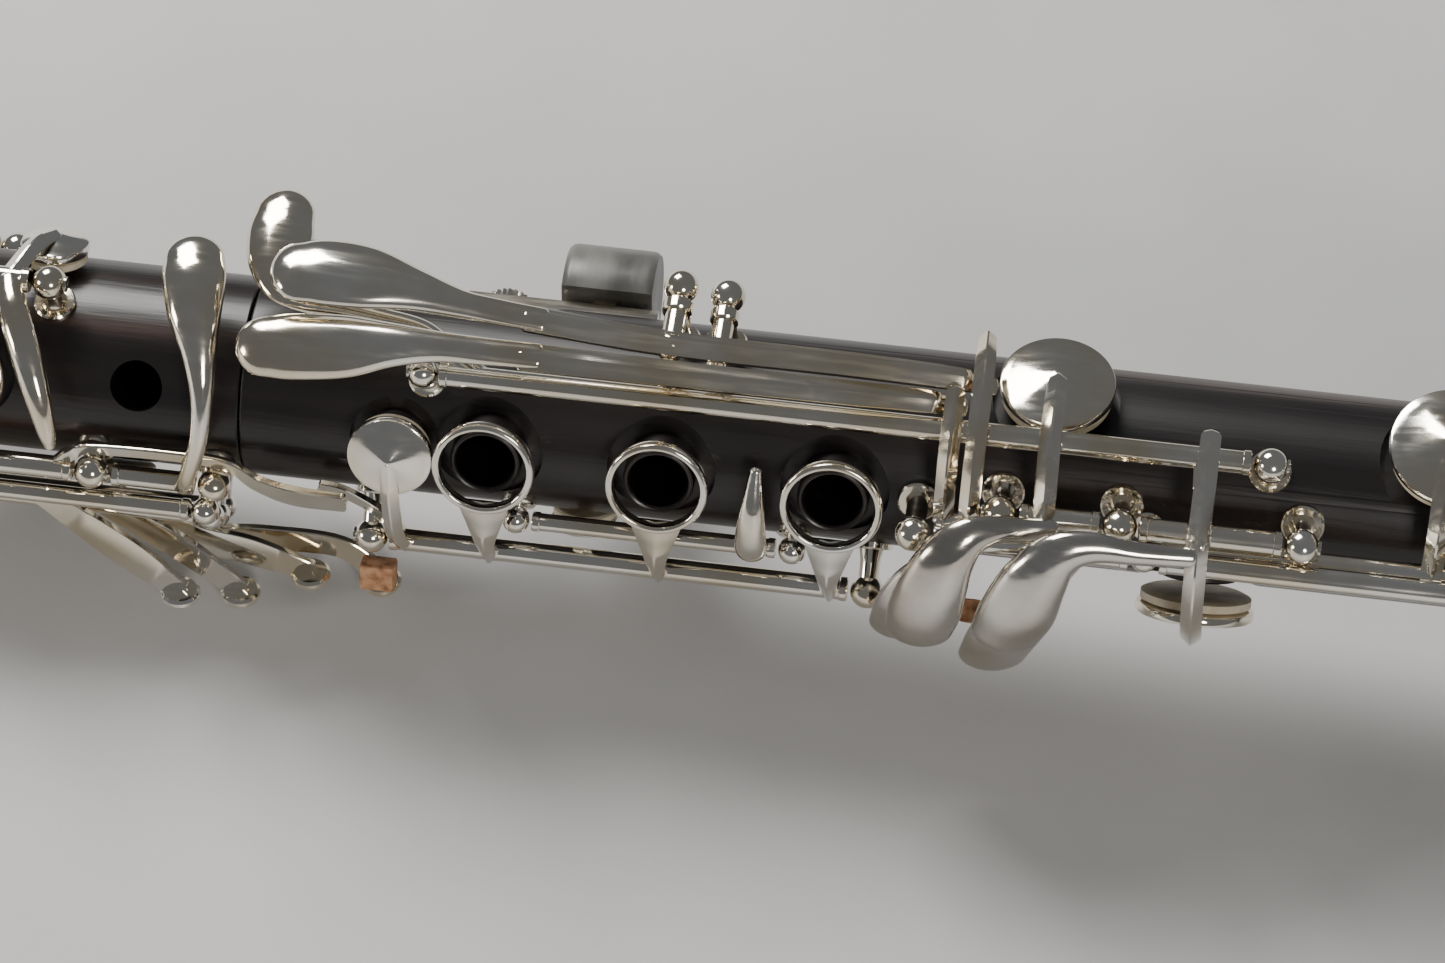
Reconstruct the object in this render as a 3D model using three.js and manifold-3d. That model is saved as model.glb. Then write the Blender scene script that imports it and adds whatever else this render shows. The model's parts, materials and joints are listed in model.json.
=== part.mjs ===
// A Boehm-system soprano clarinet, whole and assembled, lying on its side.
//
// Two frames are used. The instrument frame has x along the bore, from the mouthpiece to the bell, with
// x = 0 at the joint between the upper and lower body. Across the bore a point is given either as
// (angle, radius), where angle 0 faces the front finger holes and +90 degrees is the player's left, or as
// (right, front) in millimetres. The outer group rolls the instrument so that its front faces up by ROLL
// degrees, tilts it so that the bell's rim and the barrel both touch the ground, and centres it there.
import * as THREE from 'three';
import { mergeVertices } from 'three/addons/utils/BufferGeometryUtils.js';
import Module from 'manifold-3d';

const wasm = await Module();
wasm.setup();

// ---- Driving dimensions, in millimetres and degrees ----
const ROLL = 21;
const BARREL_RADIUS = 17.1;
const BELL_RADIUS = 40;
const BODY_RADIUS = 13.25;
const BORE_RADIUS = 7.35;
const MOUTHPIECE_TIP = -334;
const BARREL_START = -260;
const UPPER_START = -195;
const LOWER_END = 228;
const BELL_END = 333;
const GAP = 0.3;              // clearance between neighbouring pieces
const TUBE = 1.55;            // radius of a hinge tube
const BALL = 2.3;             // radius of a post's ball
const UPPER_FRONT = 16;       // the upper joint is turned this far to the left of the lower one
const RING_RADIUS = 6.2;      // middle of a finger ring's metal
const RING_HEIGHT = 17.4;     // radius at which the finger rings stand

const metals = { color: 0xd8d4ca, roughness: 0.22, metalness: 1 };
const woods = { color: 0x2a1d1b, roughness: 0.45, metalness: 0 };
const pads = { color: 0xd9cba6, roughness: 0.8, metalness: 0 };
const corks = { color: 0xb07a4c, roughness: 0.9, metalness: 0 };
const ebonite = { color: 0x151517, roughness: 0.25, metalness: 0 };
const cane = { color: 0xd6bd7c, roughness: 0.6, metalness: 0 };
const rubbers = { color: 0x8d9496, roughness: 0.5, metalness: 0 };

const rad = THREE.MathUtils.degToRad;

// ---- Points and directions ----
const radialDirection = (angle) => new THREE.Vector3(0, -Math.cos(rad(angle)), Math.sin(rad(angle)));
const polar = (s, angle, radius) => radialDirection(angle).multiplyScalar(radius).setX(s);
const across = (s, right, front) => new THREE.Vector3(s, -front, -right);

// ---- Solids ----
function solidOf(geometry) {
  const bare = geometry.clone();
  bare.deleteAttribute('normal');
  bare.deleteAttribute('uv');
  const merged = mergeVertices(bare, 1e-4);
  return new wasm.Manifold(new wasm.Mesh({
    numProp: 3,
    vertProperties: new Float32Array(merged.attributes.position.array),
    triVerts: new Uint32Array(merged.index.array),
  }));
}

function geometryOf(solid) {
  const mesh = solid.getMesh();
  const geometry = new THREE.BufferGeometry();
  geometry.setAttribute('position', new THREE.BufferAttribute(new Float32Array(mesh.vertProperties), 3));
  geometry.setIndex(new THREE.BufferAttribute(new Uint32Array(mesh.triVerts), 1));
  const flat = geometry.toNonIndexed();
  flat.computeVertexNormals();
  return flat;
}

const join = (solids) => solids.reduce((whole, piece) => whole.add(piece));
const cut = (whole, tools) => tools.reduce((rest, tool) => rest.subtract(tool), whole);

// A solid of revolution about the bore. profile lists [s, radius] and closes on itself or on the axis.
function turned(profile, segments) {
  const points = profile.map(([s, radius]) => new THREE.Vector2(radius, s));
  const geometry = new THREE.LatheGeometry(points, segments);
  geometry.rotateZ(-Math.PI / 2);
  return solidOf(geometry);
}

// A solid of revolution about a line that leaves the bore at (s, angle). profile lists [radius from the
// bore, radius of the piece].
function standing(s, angle, profile, segments) {
  const points = profile.map(([height, radius]) => new THREE.Vector2(radius, height));
  const geometry = new THREE.LatheGeometry(points, segments);
  const up = radialDirection(angle);
  const along = new THREE.Vector3(1, 0, 0);
  const basis = new THREE.Matrix4().makeBasis(along, up, along.clone().cross(up));
  geometry.applyMatrix4(basis.setPosition(s, 0, 0));
  return solidOf(geometry);
}

const plug = (s, angle, low, high, radius, segments = 14) =>
  standing(s, angle, [[low, 0], [low, radius], [high, radius], [high, 0]], segments);

// A round bar from one point to another.
function rod(start, end, radius, segments = 8) {
  const length = start.distanceTo(end);
  const geometry = new THREE.CylinderGeometry(radius, radius, length, segments);
  const direction = end.clone().sub(start).normalize();
  const turn = new THREE.Quaternion().setFromUnitVectors(new THREE.Vector3(0, 1, 0), direction);
  geometry.applyQuaternion(turn);
  const middle = start.clone().add(end).multiplyScalar(0.5);
  geometry.translate(middle.x, middle.y, middle.z);
  return solidOf(geometry);
}

const tubeAlong = (from, to, angle, radius, size = TUBE) =>
  rod(polar(from, angle, radius), polar(to, angle, radius), size);

// A bar whose flat section follows a path. Each knot is [point, half width, half thickness]. The
// thickness lies along normalAt(point), and corners is 4 for a flat bar or 8 for a rounded one.
function bar(knots, { normal = null, corners = 4 } = {}) {
  const rings = knots.map(([point, halfWidth, halfThickness], i) => {
    const before = knots[Math.max(i - 1, 0)][0];
    const after = knots[Math.min(i + 1, knots.length - 1)][0];
    const tangent = after.clone().sub(before).normalize();
    const outward = normal ? normal.clone() : new THREE.Vector3(0, point.y, point.z).normalize();
    outward.addScaledVector(tangent, -outward.dot(tangent)).normalize();
    const sideways = tangent.clone().cross(outward);
    const turn = corners === 4 ? Math.PI / 4 : Math.PI / 8;
    const reach = 1 / Math.cos(turn);
    return Array.from({ length: corners }, (_, k) => {
      const around = turn + (2 * Math.PI * k) / corners;
      return point.clone()
        .addScaledVector(sideways, Math.cos(around) * reach * halfWidth)
        .addScaledVector(outward, Math.sin(around) * reach * halfThickness);
    });
  });
  const vertices = rings.flat().flatMap((p) => [p.x, p.y, p.z]);
  const index = [];
  for (let i = 0; i < rings.length - 1; i += 1) {
    for (let k = 0; k < corners; k += 1) {
      const a = i * corners + k;
      const b = i * corners + ((k + 1) % corners);
      index.push(a, b, a + corners, b, b + corners, a + corners);
    }
  }
  const last = (rings.length - 1) * corners;
  for (let k = 1; k < corners - 1; k += 1) {
    index.push(0, k + 1, k);
    index.push(last, last + k, last + k + 1);
  }
  const geometry = new THREE.BufferGeometry();
  geometry.setAttribute('position', new THREE.BufferAttribute(new Float32Array(vertices), 3));
  geometry.setIndex(index);
  const solid = solidOf(geometry);
  if (solid.volume() > 0) return solid;
  geometry.setIndex(index.flatMap((_, i, all) => (i % 3 === 0 ? [all[i], all[i + 2], all[i + 1]] : [])));
  return solidOf(geometry);
}

const polarBar = (knots, options) =>
  bar(knots.map(([s, a, r, w, t]) => [polar(s, a, r), w, t]), options);
const acrossBar = (knots, options) =>
  bar(knots.map(([s, right, front, w, t]) => [across(s, right, front), w, t]), options);

// ---- Parts of a key ----
// A post: a flared foot in the wood, a slim neck and a ball that holds the end of a hinge tube.
function post(s, angle, height, ball = BALL) {
  const neck = Math.min(1.3, ball * 0.6);
  const foot = Math.min(2.5, ball + 0.3);
  return standing(s, angle, [
    [BODY_RADIUS - 1.5, 0], [BODY_RADIUS - 1.5, foot], [BODY_RADIUS + 0.8, foot], [BODY_RADIUS + 1.2, neck],
    [height - ball * 0.8, neck], [height, ball], [height + ball, ball * 0.5], [height + ball, 0],
  ], 6);
}

// The cup of a pad: a shallow cap with a conical top that ends in a point.
const cup = (s, angle, low, radius, point = 1.6) => standing(s, angle, [
  [low, 0], [low, radius], [low + 1.4, radius], [low + 1.6 + point, 0],
], 14);

const padDisc = (s, angle, low, radius) => plug(s, angle, low, low + 1.3, radius);

// A finger ring: a band that stands around the chimney of its hole.
const fingerRing = (s, angle) => standing(s, angle, [
  [RING_HEIGHT - 0.9, RING_RADIUS - 0.6], [RING_HEIGHT - 0.9, RING_RADIUS + 0.6],
  [RING_HEIGHT + 0.4, RING_RADIUS + 0.6], [RING_HEIGHT + 0.9, RING_RADIUS - 0.2],
  [RING_HEIGHT - 0.9, RING_RADIUS - 0.6],
], 16);

// ---- Holes in the wood ----
const TONE_HOLE = 3.9;
const ringSeat = (s, angle) => ({
  recess: plug(s, angle, 10.9, 20, 7.2, 16),
  chimney: plug(s, angle, 10, 16.3, 4.8, 12),
  hole: plug(s, angle, 0, 20, TONE_HOLE, 12),
});
const padSeat = (s, angle, recess, chimney, hole, top = 13) => ({
  recess: plug(s, angle, top - 1.2, 20, recess, 14),
  chimney: plug(s, angle, 10, top, chimney, 12),
  hole: plug(s, angle, 0, 20, hole, 10),
});

function withSeats(body, seats) {
  const recessed = cut(body, seats.map((seat) => seat.recess));
  const raised = join([recessed, ...seats.map((seat) => seat.chimney)]);
  return cut(raised, seats.map((seat) => seat.hole));
}

// ---- The scene graph ----
const RIM_EDGE = BELL_END - 3.4;
const TILT = Math.atan2(BELL_RADIUS - BARREL_RADIUS, RIM_EDGE - (BARREL_START + UPPER_START) / 2);
const clarinet = new THREE.Group();
const instrument = new THREE.Group();
instrument.rotation.set(-rad(ROLL), -TILT, 0, 'YXZ');
clarinet.add(instrument);

function place(name, solid, look) {
  const mesh = new THREE.Mesh(geometryOf(solid), new THREE.MeshStandardMaterial(look));
  mesh.name = name;
  instrument.add(mesh);
}

// ---- Mouthpiece: an ebonite beak with a flat table, a window and a tenon ----
const TABLE = 10.4;           // distance of the reed's table behind the bore's axis
const BEAK = 56;              // length of the sloping beak

function box(from, to) {
  const geometry = new THREE.BoxGeometry(to[0] - from[0], to[1] - from[1], to[2] - from[2]);
  geometry.translate((from[0] + to[0]) / 2, (from[1] + to[1]) / 2, (from[2] + to[2]) / 2);
  return geometry;
}

function mouthpiece() {
  const outer = turned([
    [MOUTHPIECE_TIP, 0], [MOUTHPIECE_TIP, 11.8], [MOUTHPIECE_TIP + 36, 13.6], [BARREL_START - 8, 13.9],
    [BARREL_START, 14.2], [BARREL_START, 10.2], [BARREL_START + 16, 10.2], [BARREL_START + 16, 0],
  ], 28);
  const beakSlope = Math.atan2(2 * TABLE, BEAK);
  const wedge = (from, to) => {
    const geometry = box(from, to);
    geometry.rotateZ(-beakSlope);
    geometry.translate(MOUTHPIECE_TIP, TABLE - 1.6, 0);
    return solidOf(geometry);
  };
  const tableCut = solidOf(box([MOUTHPIECE_TIP - 1, TABLE, -20], [BARREL_START - 6, 40, 20]));
  const bore = turned([
    [MOUTHPIECE_TIP + 30, 0], [MOUTHPIECE_TIP + 30, 5.4], [MOUTHPIECE_TIP + 44, BORE_RADIUS],
    [BARREL_START + 30, BORE_RADIUS], [BARREL_START + 30, 0],
  ], 20);
  return cut(outer, [wedge([-20, -40, -20], [90, 0, 20]), tableCut, wedge([3.5, 1.8, -5.4], [34, 40, 5.4]), bore]);
}

function reed() {
  const half = (width) => width / 2;
  const thin = 0.5;
  const heel = 2.8;
  const start = MOUTHPIECE_TIP + 0.6;
  const end = MOUTHPIECE_TIP + 66;
  const low = TABLE + GAP;
  return bar([
    [new THREE.Vector3(start, low + thin / 2, 0), half(13), thin / 2],
    [new THREE.Vector3(start + 34, low + heel / 2, 0), half(12.4), heel / 2],
    [new THREE.Vector3(end, low + heel / 2, 0), half(11.6), heel / 2],
  ], { normal: new THREE.Vector3(0, 1, 0) });
}

const LIGATURE = [MOUTHPIECE_TIP + 38, MOUTHPIECE_TIP + 62];

function ligature() {
  const [from, to] = LIGATURE;
  const inner = 14.5;
  const profile = [[from, inner], [from, inner + 0.8], [to, inner + 0.8], [to, inner], [from, inner]];
  return turned(profile, 28).translate([0, 0.55, 0]);
}

const ligatureScrew = (s) => rod(across(s, -9, -17.6), across(s, 9, -17.6), 1.3, 10);

place('mouthpiece', mouthpiece(), ebonite);
place('mouthpiece_tenon_cork', turned([
  [BARREL_START + 2, 10.5], [BARREL_START + 2, 11.2], [BARREL_START + 14, 11.2], [BARREL_START + 14, 10.5],
  [BARREL_START + 2, 10.5],
], 24), corks);
place('reed', reed(), cane);
place('ligature', ligature(), metals);
place('ligature_screw_upper', ligatureScrew(LIGATURE[0] + 6), metals);
place('ligature_screw_lower', ligatureScrew(LIGATURE[1] - 6), metals);

// ---- Barrel: a short swelling tube with a metal ring on each end ----
const SOCKET_RADIUS = 11.5;
const SOCKET_DEPTH = 17;

place('barrel', turned([
  [BARREL_START + GAP, SOCKET_RADIUS], [BARREL_START + GAP, 15.2], [BARREL_START + 5, 15.2],
  [BARREL_START + 5.2, 16.2], [(BARREL_START + UPPER_START) / 2, BARREL_RADIUS], [UPPER_START - 5.2, 16.2],
  [UPPER_START - 5, 15.2], [UPPER_START - GAP, 15.2], [UPPER_START - GAP, SOCKET_RADIUS],
  [UPPER_START - SOCKET_DEPTH, SOCKET_RADIUS], [UPPER_START - SOCKET_DEPTH, BORE_RADIUS],
  [BARREL_START + SOCKET_DEPTH, BORE_RADIUS], [BARREL_START + SOCKET_DEPTH, SOCKET_RADIUS],
  [BARREL_START + GAP, SOCKET_RADIUS],
], 24), woods);

function band(from, to, inner, outer) {
  return turned([[from, inner], [from, outer], [to, outer], [to, inner], [from, inner]], 24);
}

place('barrel_ring_upper', band(BARREL_START + 0.6, BARREL_START + 4.8, 15.5, 16.5), metals);
place('barrel_ring_lower', band(UPPER_START - 4.8, UPPER_START - 0.6, 15.5, 16.5), metals);

// ---- Upper joint ----
const LH_RINGS = [-62, -37.5];
const LH_HOLE = -14;
const THUMB_HOLE = { s: -56, angle: 196 };
const upperRingHinge = { angle: -33, radius: 17, from: -84, to: -22.5 };
const cSharpHinge = { angle: -35, radius: 16.8, from: -17.1, to: -5.9 };
const sideHinges = [
  { angle: -44, left: -168 }, { angle: -56, left: -152 }, { angle: -68, left: -118 }, { angle: -80, left: -104 },
].map((hinge) => ({ ...hinge, radius: 19.6, right: -4.4 }));
const SIDE_BALL = 1.85;
const SIDE_TUBE = 1.3;
const SIDE_PADS = [
  { s: -163, angle: -10 }, { s: -147, angle: -22 }, { s: -112, angle: -24 }, { s: -98, angle: -24 },
];
const sliverHinge = { angle: 60, radius: 18.5, from: -46, to: -28.9 };
const SLIVER_PAD = { s: -28, angle: 92 };
const gSharpHinge = { angle: 62, radius: 17, from: -118, to: -88 };
const G_SHARP_PAD = { s: -111, angle: 86 };
const throatA = { s: -128, angle: 30, radius: 18.4, reach: 4 };
const THROAT_A_PAD = { s: -178, angle: 30 };
const register = { s: -112, angle: 196, radius: 18.2, reach: 4 };
const REGISTER_PAD = { s: -160, angle: 196 };
const thumbHinge = { angle: 158, radius: 17, from: -70, to: -40 };
const THUMB_PAD = { s: -40.5, angle: 190 };
const UPPER_RING_PAD = { s: -50, angle: UPPER_FRONT };
const C_SHARP_PAD = { s: -17.5, angle: -66 };

// A pivot that lies across the bore: its middle is at (s, angle, radius) and it points to the left.
function crossPivot({ s, angle, radius }, offset) {
  const sideways = radialDirection(angle + 90);
  return polar(s, angle, radius).addScaledVector(sideways, offset);
}

// A post whose ball meets a cross pivot at this offset from its middle.
function crossPost(pivot, offset, ball = BALL) {
  const end = crossPivot(pivot, offset);
  const height = Math.hypot(end.y, end.z);
  const angle = THREE.MathUtils.radToDeg(Math.atan2(end.z, -end.y));
  return post(pivot.s, angle, height, ball);
}

const postsOf = ({ angle, radius, from, to }) => [
  post(from - BALL - GAP, angle, radius),
  post(to + BALL + GAP, angle, radius),
];

function upperJoint() {
  const wood = turned([
    [UPPER_START - 15, BORE_RADIUS], [UPPER_START - 15, 10.2], [UPPER_START, 10.2], [UPPER_START, 14.2],
    [UPPER_START + 4, 14.2], [UPPER_START + 12, BODY_RADIUS], [0 - GAP, BODY_RADIUS], [0 - GAP, 10.3],
    [11.5, 10.3], [11.5, BORE_RADIUS], [UPPER_START - 15, BORE_RADIUS],
  ], 26);
  const posts = [
    ...postsOf(upperRingHinge),
    post(cSharpHinge.to + BALL + GAP, cSharpHinge.angle, cSharpHinge.radius, 2.2),
    ...sideHinges.flatMap(({ left, right, angle, radius }) => [
      post(left, angle, radius, SIDE_BALL), post(right, angle, radius, SIDE_BALL),
    ]),
    ...postsOf(sliverHinge),
    ...postsOf(gSharpHinge),
    ...postsOf(thumbHinge),
    ...[throatA, register].flatMap((pivot) => [
      crossPost(pivot, pivot.reach + 2), crossPost(pivot, -pivot.reach - 2),
    ]),
  ];
  const seats = [
    ...LH_RINGS.map((s) => ringSeat(s, UPPER_FRONT)),
    ringSeat(THUMB_HOLE.s, THUMB_HOLE.angle),
    padSeat(UPPER_RING_PAD.s, UPPER_RING_PAD.angle, 5.6, 4, 2.6),
  ];
  const holes = [plug(LH_HOLE, UPPER_FRONT, 0, 20, 3.5, 20)];
  return join([cut(withSeats(wood, seats), holes), ...posts]);
}

place('upper_joint', upperJoint(), woods);
place('upper_tenon_cork', band(UPPER_START - 13, UPPER_START - 2, 10.5, 11.2), corks);
place('middle_tenon_cork', band(2, 9.5, 10.6, 11.2), corks);

// Keys of the upper joint.
function upperRingKey() {
  const { angle, radius, from, to } = upperRingHinge;
  const arms = LH_RINGS.map((s) => polarBar([
    [s, -6, 17.8, 2.8, 0.8], [s, -20, 18.2, 1.5, 0.8], [s, angle, 18.0, 1.3, 0.8],
  ]));
  const padArm = polarBar([
    [UPPER_RING_PAD.s, UPPER_RING_PAD.angle, 18.2, 1.2, 0.7], [UPPER_RING_PAD.s, -10, 18.6, 1.2, 0.7],
    [UPPER_RING_PAD.s, angle, 18.0, 1.2, 0.7],
  ]);
  const bridge = polarBar([
    [to - 2, -31, 16.6, 1.0, 0.6], [to, -25, 15.8, 0.9, 0.6], [-19, -21.5, 15.3, 0.8, 0.5],
    [-3, -21.5, 15.3, 0.8, 0.5], [3, -27, 17.2, 1.4, 0.5], [8, -31, 17.8, 2.1, 0.5], [15.5, -32, 17.8, 1.9, 0.5],
  ]);
  return join([
    tubeAlong(from, to, angle, radius), ...LH_RINGS.map((s) => fingerRing(s, UPPER_FRONT)), ...arms, padArm,
    cup(UPPER_RING_PAD.s, UPPER_RING_PAD.angle, 16.2, 5, 1.2), bridge,
  ]);
}

function cSharpKey() {
  const { angle, radius, from, to } = cSharpHinge;
  const touch = polarBar([
    [-7.2, angle, 17.6, 1.4, 0.9], [-6.2, -22, 18.5, 1.2, 0.8], [-4.3, 0, 18.8, 1.3, 0.8],
    [-3.9, 18, 19.4, 1.5, 0.9], [-4.6, 35, 20.4, 2.2, 1.1], [-5.8, 50, 21.5, 3.7, 1.5],
    [-6.6, 62, 22.3, 4.1, 1.6], [-7.2, 72, 22.5, 3.6, 1.4], [-7.4, 79, 22.3, 1.6, 0.8],
  ], { corners: 8 });
  const padArm = polarBar([[from + 1.4, angle, 16.9, 1.2, 0.6], [-16.6, -50, 16.7, 1.2, 0.5],
    [C_SHARP_PAD.s, C_SHARP_PAD.angle, 16.3, 1.2, 0.5]]);
  return join([
    tubeAlong(from, to, angle, radius, 1.4), touch, padArm, plug(C_SHARP_PAD.s, C_SHARP_PAD.angle, 15.1, 16.3, 4.6),
  ]);
}

// The four side keys: long tubes, each with a broad flat arm that fans out to a round touch. Their pad arms
// climb over the tubes that lie between them and their tone holes.
const SIDE_NORMAL = -15;
const SIDE_ARMS = [
  { start: -27, path: [[-16, 22.5, 12.2, 2.8]], foot: [-8.6, 28.2, 11.4] },
  { start: -19, path: [[-10, 22.3, 9.2, 2.3]], foot: [0.5, 29.2, 8] },
  { start: -13.5, path: [[-8, 22.4, 6.5, 2.5], [0, 24.4, 5.7, 2.7]], foot: [10, 27.2, 4.6] },
  { start: -10.2, path: [[-8.6, 23.9, 3.4, 2.1], [2, 23.5, 3.3, 2.2], [12, 23.7, 3.3, 2]], foot: [20, 27.8, 3.2] },
];

function sideKey(i) {
  const hinge = sideHinges[i];
  const { start, path, foot } = SIDE_ARMS[i];
  const padSpot = SIDE_PADS[i];
  const normal = radialDirection(SIDE_NORMAL);
  const tip = across(...foot);
  const plate = bar([
    [polar(start, hinge.angle, hinge.radius), 1.8, 0.5],
    ...path.map(([s, right, front, width]) => [across(s, right, front), width, 0.5]),
    [tip, 1.8, 0.5],
  ], { normal });
  const outward = radialDirection(SIDE_NORMAL - 90);
  const touch = rod(tip, tip.clone().addScaledVector(outward, 1.9), 2.8, 12);
  const height = i === 0 ? 20.8 : 22.6;
  const steps = i + 1;
  const crest = padSpot.angle - 14;
  const climb = Array.from({ length: steps + 1 }, (_, k) =>
    [padSpot.s, hinge.angle + 7 + ((crest - hinge.angle - 7) * k) / steps, height, 1.2, 0.6]);
  const padArm = polarBar([
    [padSpot.s, hinge.angle, hinge.radius + 0.7, 1.2, 0.6], ...climb, [padSpot.s, padSpot.angle, 17.6, 1.2, 0.7],
  ]);
  const reach = SIDE_BALL + GAP;
  return join([
    tubeAlong(hinge.left + reach, hinge.right - reach, hinge.angle, hinge.radius, SIDE_TUBE), plate, touch, padArm,
    cup(padSpot.s, padSpot.angle, 15.6, 4.4, 1.2),
  ]);
}

function sliverKey() {
  const { angle, radius, from, to } = sliverHinge;
  const blade = polarBar([
    [-31.5, angle - 3, 19.4, 1.6, 0.8], [-30, 45, 20.2, 2.0, 1.0], [-27.6, 30, 20.5, 2.2, 1.1],
    [-25.6, 14, 20.5, 1.9, 1.0], [-24.4, 0, 20.3, 1.3, 0.8], [-23.9, -8, 20.1, 0.7, 0.5],
  ], { corners: 8 });
  const padArm = polarBar([[-31.4, angle + 3, 18.8, 1.3, 0.7], [-29.6, 80, 18.6, 1.3, 0.7],
    [SLIVER_PAD.s, SLIVER_PAD.angle, 17.8, 1.3, 0.7]]);
  return join([
    tubeAlong(from, to, angle, radius), blade, padArm, cup(SLIVER_PAD.s, SLIVER_PAD.angle, 15.5, 4.6, 1.2),
  ]);
}

function throatGSharpKey() {
  const { angle, radius, from, to } = gSharpHinge;
  const touch = polarBar([
    [-92, angle, 18.2, 1.5, 0.8], [-91.5, 55, 19.4, 2.4, 1.0], [-91, 47, 19.9, 3.4, 1.2], [-91, 41, 19.8, 2.2, 0.9],
  ], { corners: 8 });
  const padArm = polarBar([[G_SHARP_PAD.s, angle, 18.2, 1.3, 0.7], [G_SHARP_PAD.s, 74, 18.6, 1.3, 0.7],
    [G_SHARP_PAD.s, G_SHARP_PAD.angle, 17.8, 1.3, 0.7]]);
  return join([
    tubeAlong(from, to, angle, radius), touch, padArm, cup(G_SHARP_PAD.s, G_SHARP_PAD.angle, 15.5, 4.4, 1.2),
  ]);
}

const crossTube = (pivot) => rod(
  crossPivot(pivot, -(pivot.reach + 2 - BALL - GAP)), crossPivot(pivot, pivot.reach + 2 - BALL - GAP), TUBE);

function throatAKey() {
  const { s, angle } = throatA;
  const lever = polarBar([
    [-84.5, 24, 19.6, 1.8, 0.9], [-87, 24, 19.8, 3.2, 1.2], [-92, 25, 20, 3.4, 1.2], [-98, 28, 20, 1.8, 1.0],
    [s, angle, 19.8, 1.5, 0.9], [-160, angle, 19.4, 1.5, 0.8], [THROAT_A_PAD.s, angle, 17.8, 1.3, 0.7],
  ], { corners: 8 });
  return join([crossTube(throatA), lever, cup(THROAT_A_PAD.s, angle, 15.5, 4.4, 1.2)]);
}

function registerKey() {
  const { s, angle } = register;
  const lever = polarBar([
    [-66, angle, 18.4, 1.8, 0.9], [-69, angle, 18.8, 3.2, 1.2], [-74, angle, 19.4, 3.2, 1.2],
    [-82, angle, 19.8, 1.7, 1.0], [s, angle, 19.8, 1.5, 0.9], [-145, angle, 19.4, 1.5, 0.8],
    [REGISTER_PAD.s, angle, 17.8, 1.3, 0.7],
  ], { corners: 8 });
  return join([crossTube(register), lever, cup(REGISTER_PAD.s, angle, 15.5, 4, 1.2)]);
}

function thumbRingKey() {
  const { angle, radius, from, to } = thumbHinge;
  const ringArm = polarBar([[THUMB_HOLE.s, 177, 17.7, 2.6, 0.8], [THUMB_HOLE.s, 168, 18.2, 1.4, 0.8],
    [THUMB_HOLE.s, angle, 18.1, 1.3, 0.8]]);
  const padArm = polarBar([[THUMB_PAD.s - 3, angle, 18.1, 1.3, 0.7], [THUMB_PAD.s - 1, 174, 18.6, 1.3, 0.7],
    [THUMB_PAD.s, THUMB_PAD.angle, 18, 1.3, 0.7]]);
  return join([
    tubeAlong(from, to, angle, radius), fingerRing(THUMB_HOLE.s, THUMB_HOLE.angle), ringArm, padArm,
    cup(THUMB_PAD.s, THUMB_PAD.angle, 16.2, 4.2, 1.2),
  ]);
}

place('register_key', registerKey(), metals);
place('thumb_ring_key', thumbRingKey(), metals);
place('upper_ring_key', upperRingKey(), metals);
place('throat_a_key', throatAKey(), metals);
place('throat_g_sharp_key', throatGSharpKey(), metals);
SIDE_PADS.forEach((_, i) => place(`side_key_${i + 1}`, sideKey(i), metals));
place('e_flat_b_flat_sliver_key', sliverKey(), metals);
place('c_sharp_g_sharp_key', cSharpKey(), metals);

place('register_pad', padDisc(REGISTER_PAD.s, REGISTER_PAD.angle, 13.9, 3.7), pads);
place('thumb_ring_pad', padDisc(THUMB_PAD.s, THUMB_PAD.angle, 14.6, 3.9), pads);
place('upper_ring_pad', padDisc(UPPER_RING_PAD.s, UPPER_RING_PAD.angle, 14.6, 4.6), pads);
place('throat_a_pad', padDisc(THROAT_A_PAD.s, THROAT_A_PAD.angle, 13.9, 4.1), pads);
place('throat_g_sharp_pad', padDisc(G_SHARP_PAD.s, G_SHARP_PAD.angle, 13.9, 4.1), pads);
SIDE_PADS.forEach(({ s, angle }, i) => place(`side_pad_${i + 1}`, padDisc(s, angle, 13.9, 4.1), pads));
place('sliver_pad', padDisc(SLIVER_PAD.s, SLIVER_PAD.angle, 13.9, 4.3), pads);
place('c_sharp_pad', plug(C_SHARP_PAD.s, C_SHARP_PAD.angle, 13.6, 14.8, 4.3, 16), pads);

// ---- Lower joint ----
const RH_RINGS = [33.5, 56.5, 79.5];
const lowerRingHinge = { angle: -62, radius: 19.8, from: 19.9, to: 81.9 };
const forkHinge = { angle: -44, radius: 15.9, from: 39.4, to: 72.1 };
const FORK_BALL = 1.9;
const LOWER_RING_PAD = { s: 21, angle: 0 };
const FORK_PAD = { s: 45, angle: -86 };

// The little-finger keys turn on three lines: one hinge line that holds the A flat and F sharp keys in
// turn, and two stacked rods that run from the touches down to the largest pads.
const frontLine = { angle: 11, radius: 21.5, posts: [101.5, 117, 140.5] };
const lowRod = { front: 18.2, ball: 1.75 };
const highRod = { front: 21.8, ball: BALL };
const ROD_POST = 90.6;
const ROD_SPLIT = 120.6;
const LOW_ROD_END = 163.2;
const HIGH_ROD_END = 199.6;
const A_FLAT_PAD = { s: 107, angle: 70 };
const F_SHARP_PAD = { s: 128, angle: -70 };
const F_C_PAD = { s: 158.4, angle: 56 };
const E_B_PAD = { s: 190, angle: 52 };

const longHinge = { angle: 39, radius: 18.5, from: 27, to: 132.9 };
const leverPivot = { angle: 64, radius: 19.8, reach: 6 };
const LEVER_PIVOTS = [{ ...leverPivot, s: 56.6 }, { ...leverPivot, s: 62.8, radius: 18.8 }];

function doublePost(s, ball) {
  return join([post(s, 0, highRod.front, ball), plug(s, 0, lowRod.front - 1.7, lowRod.front + 1.7, 1.7, 10)]);
}

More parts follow.
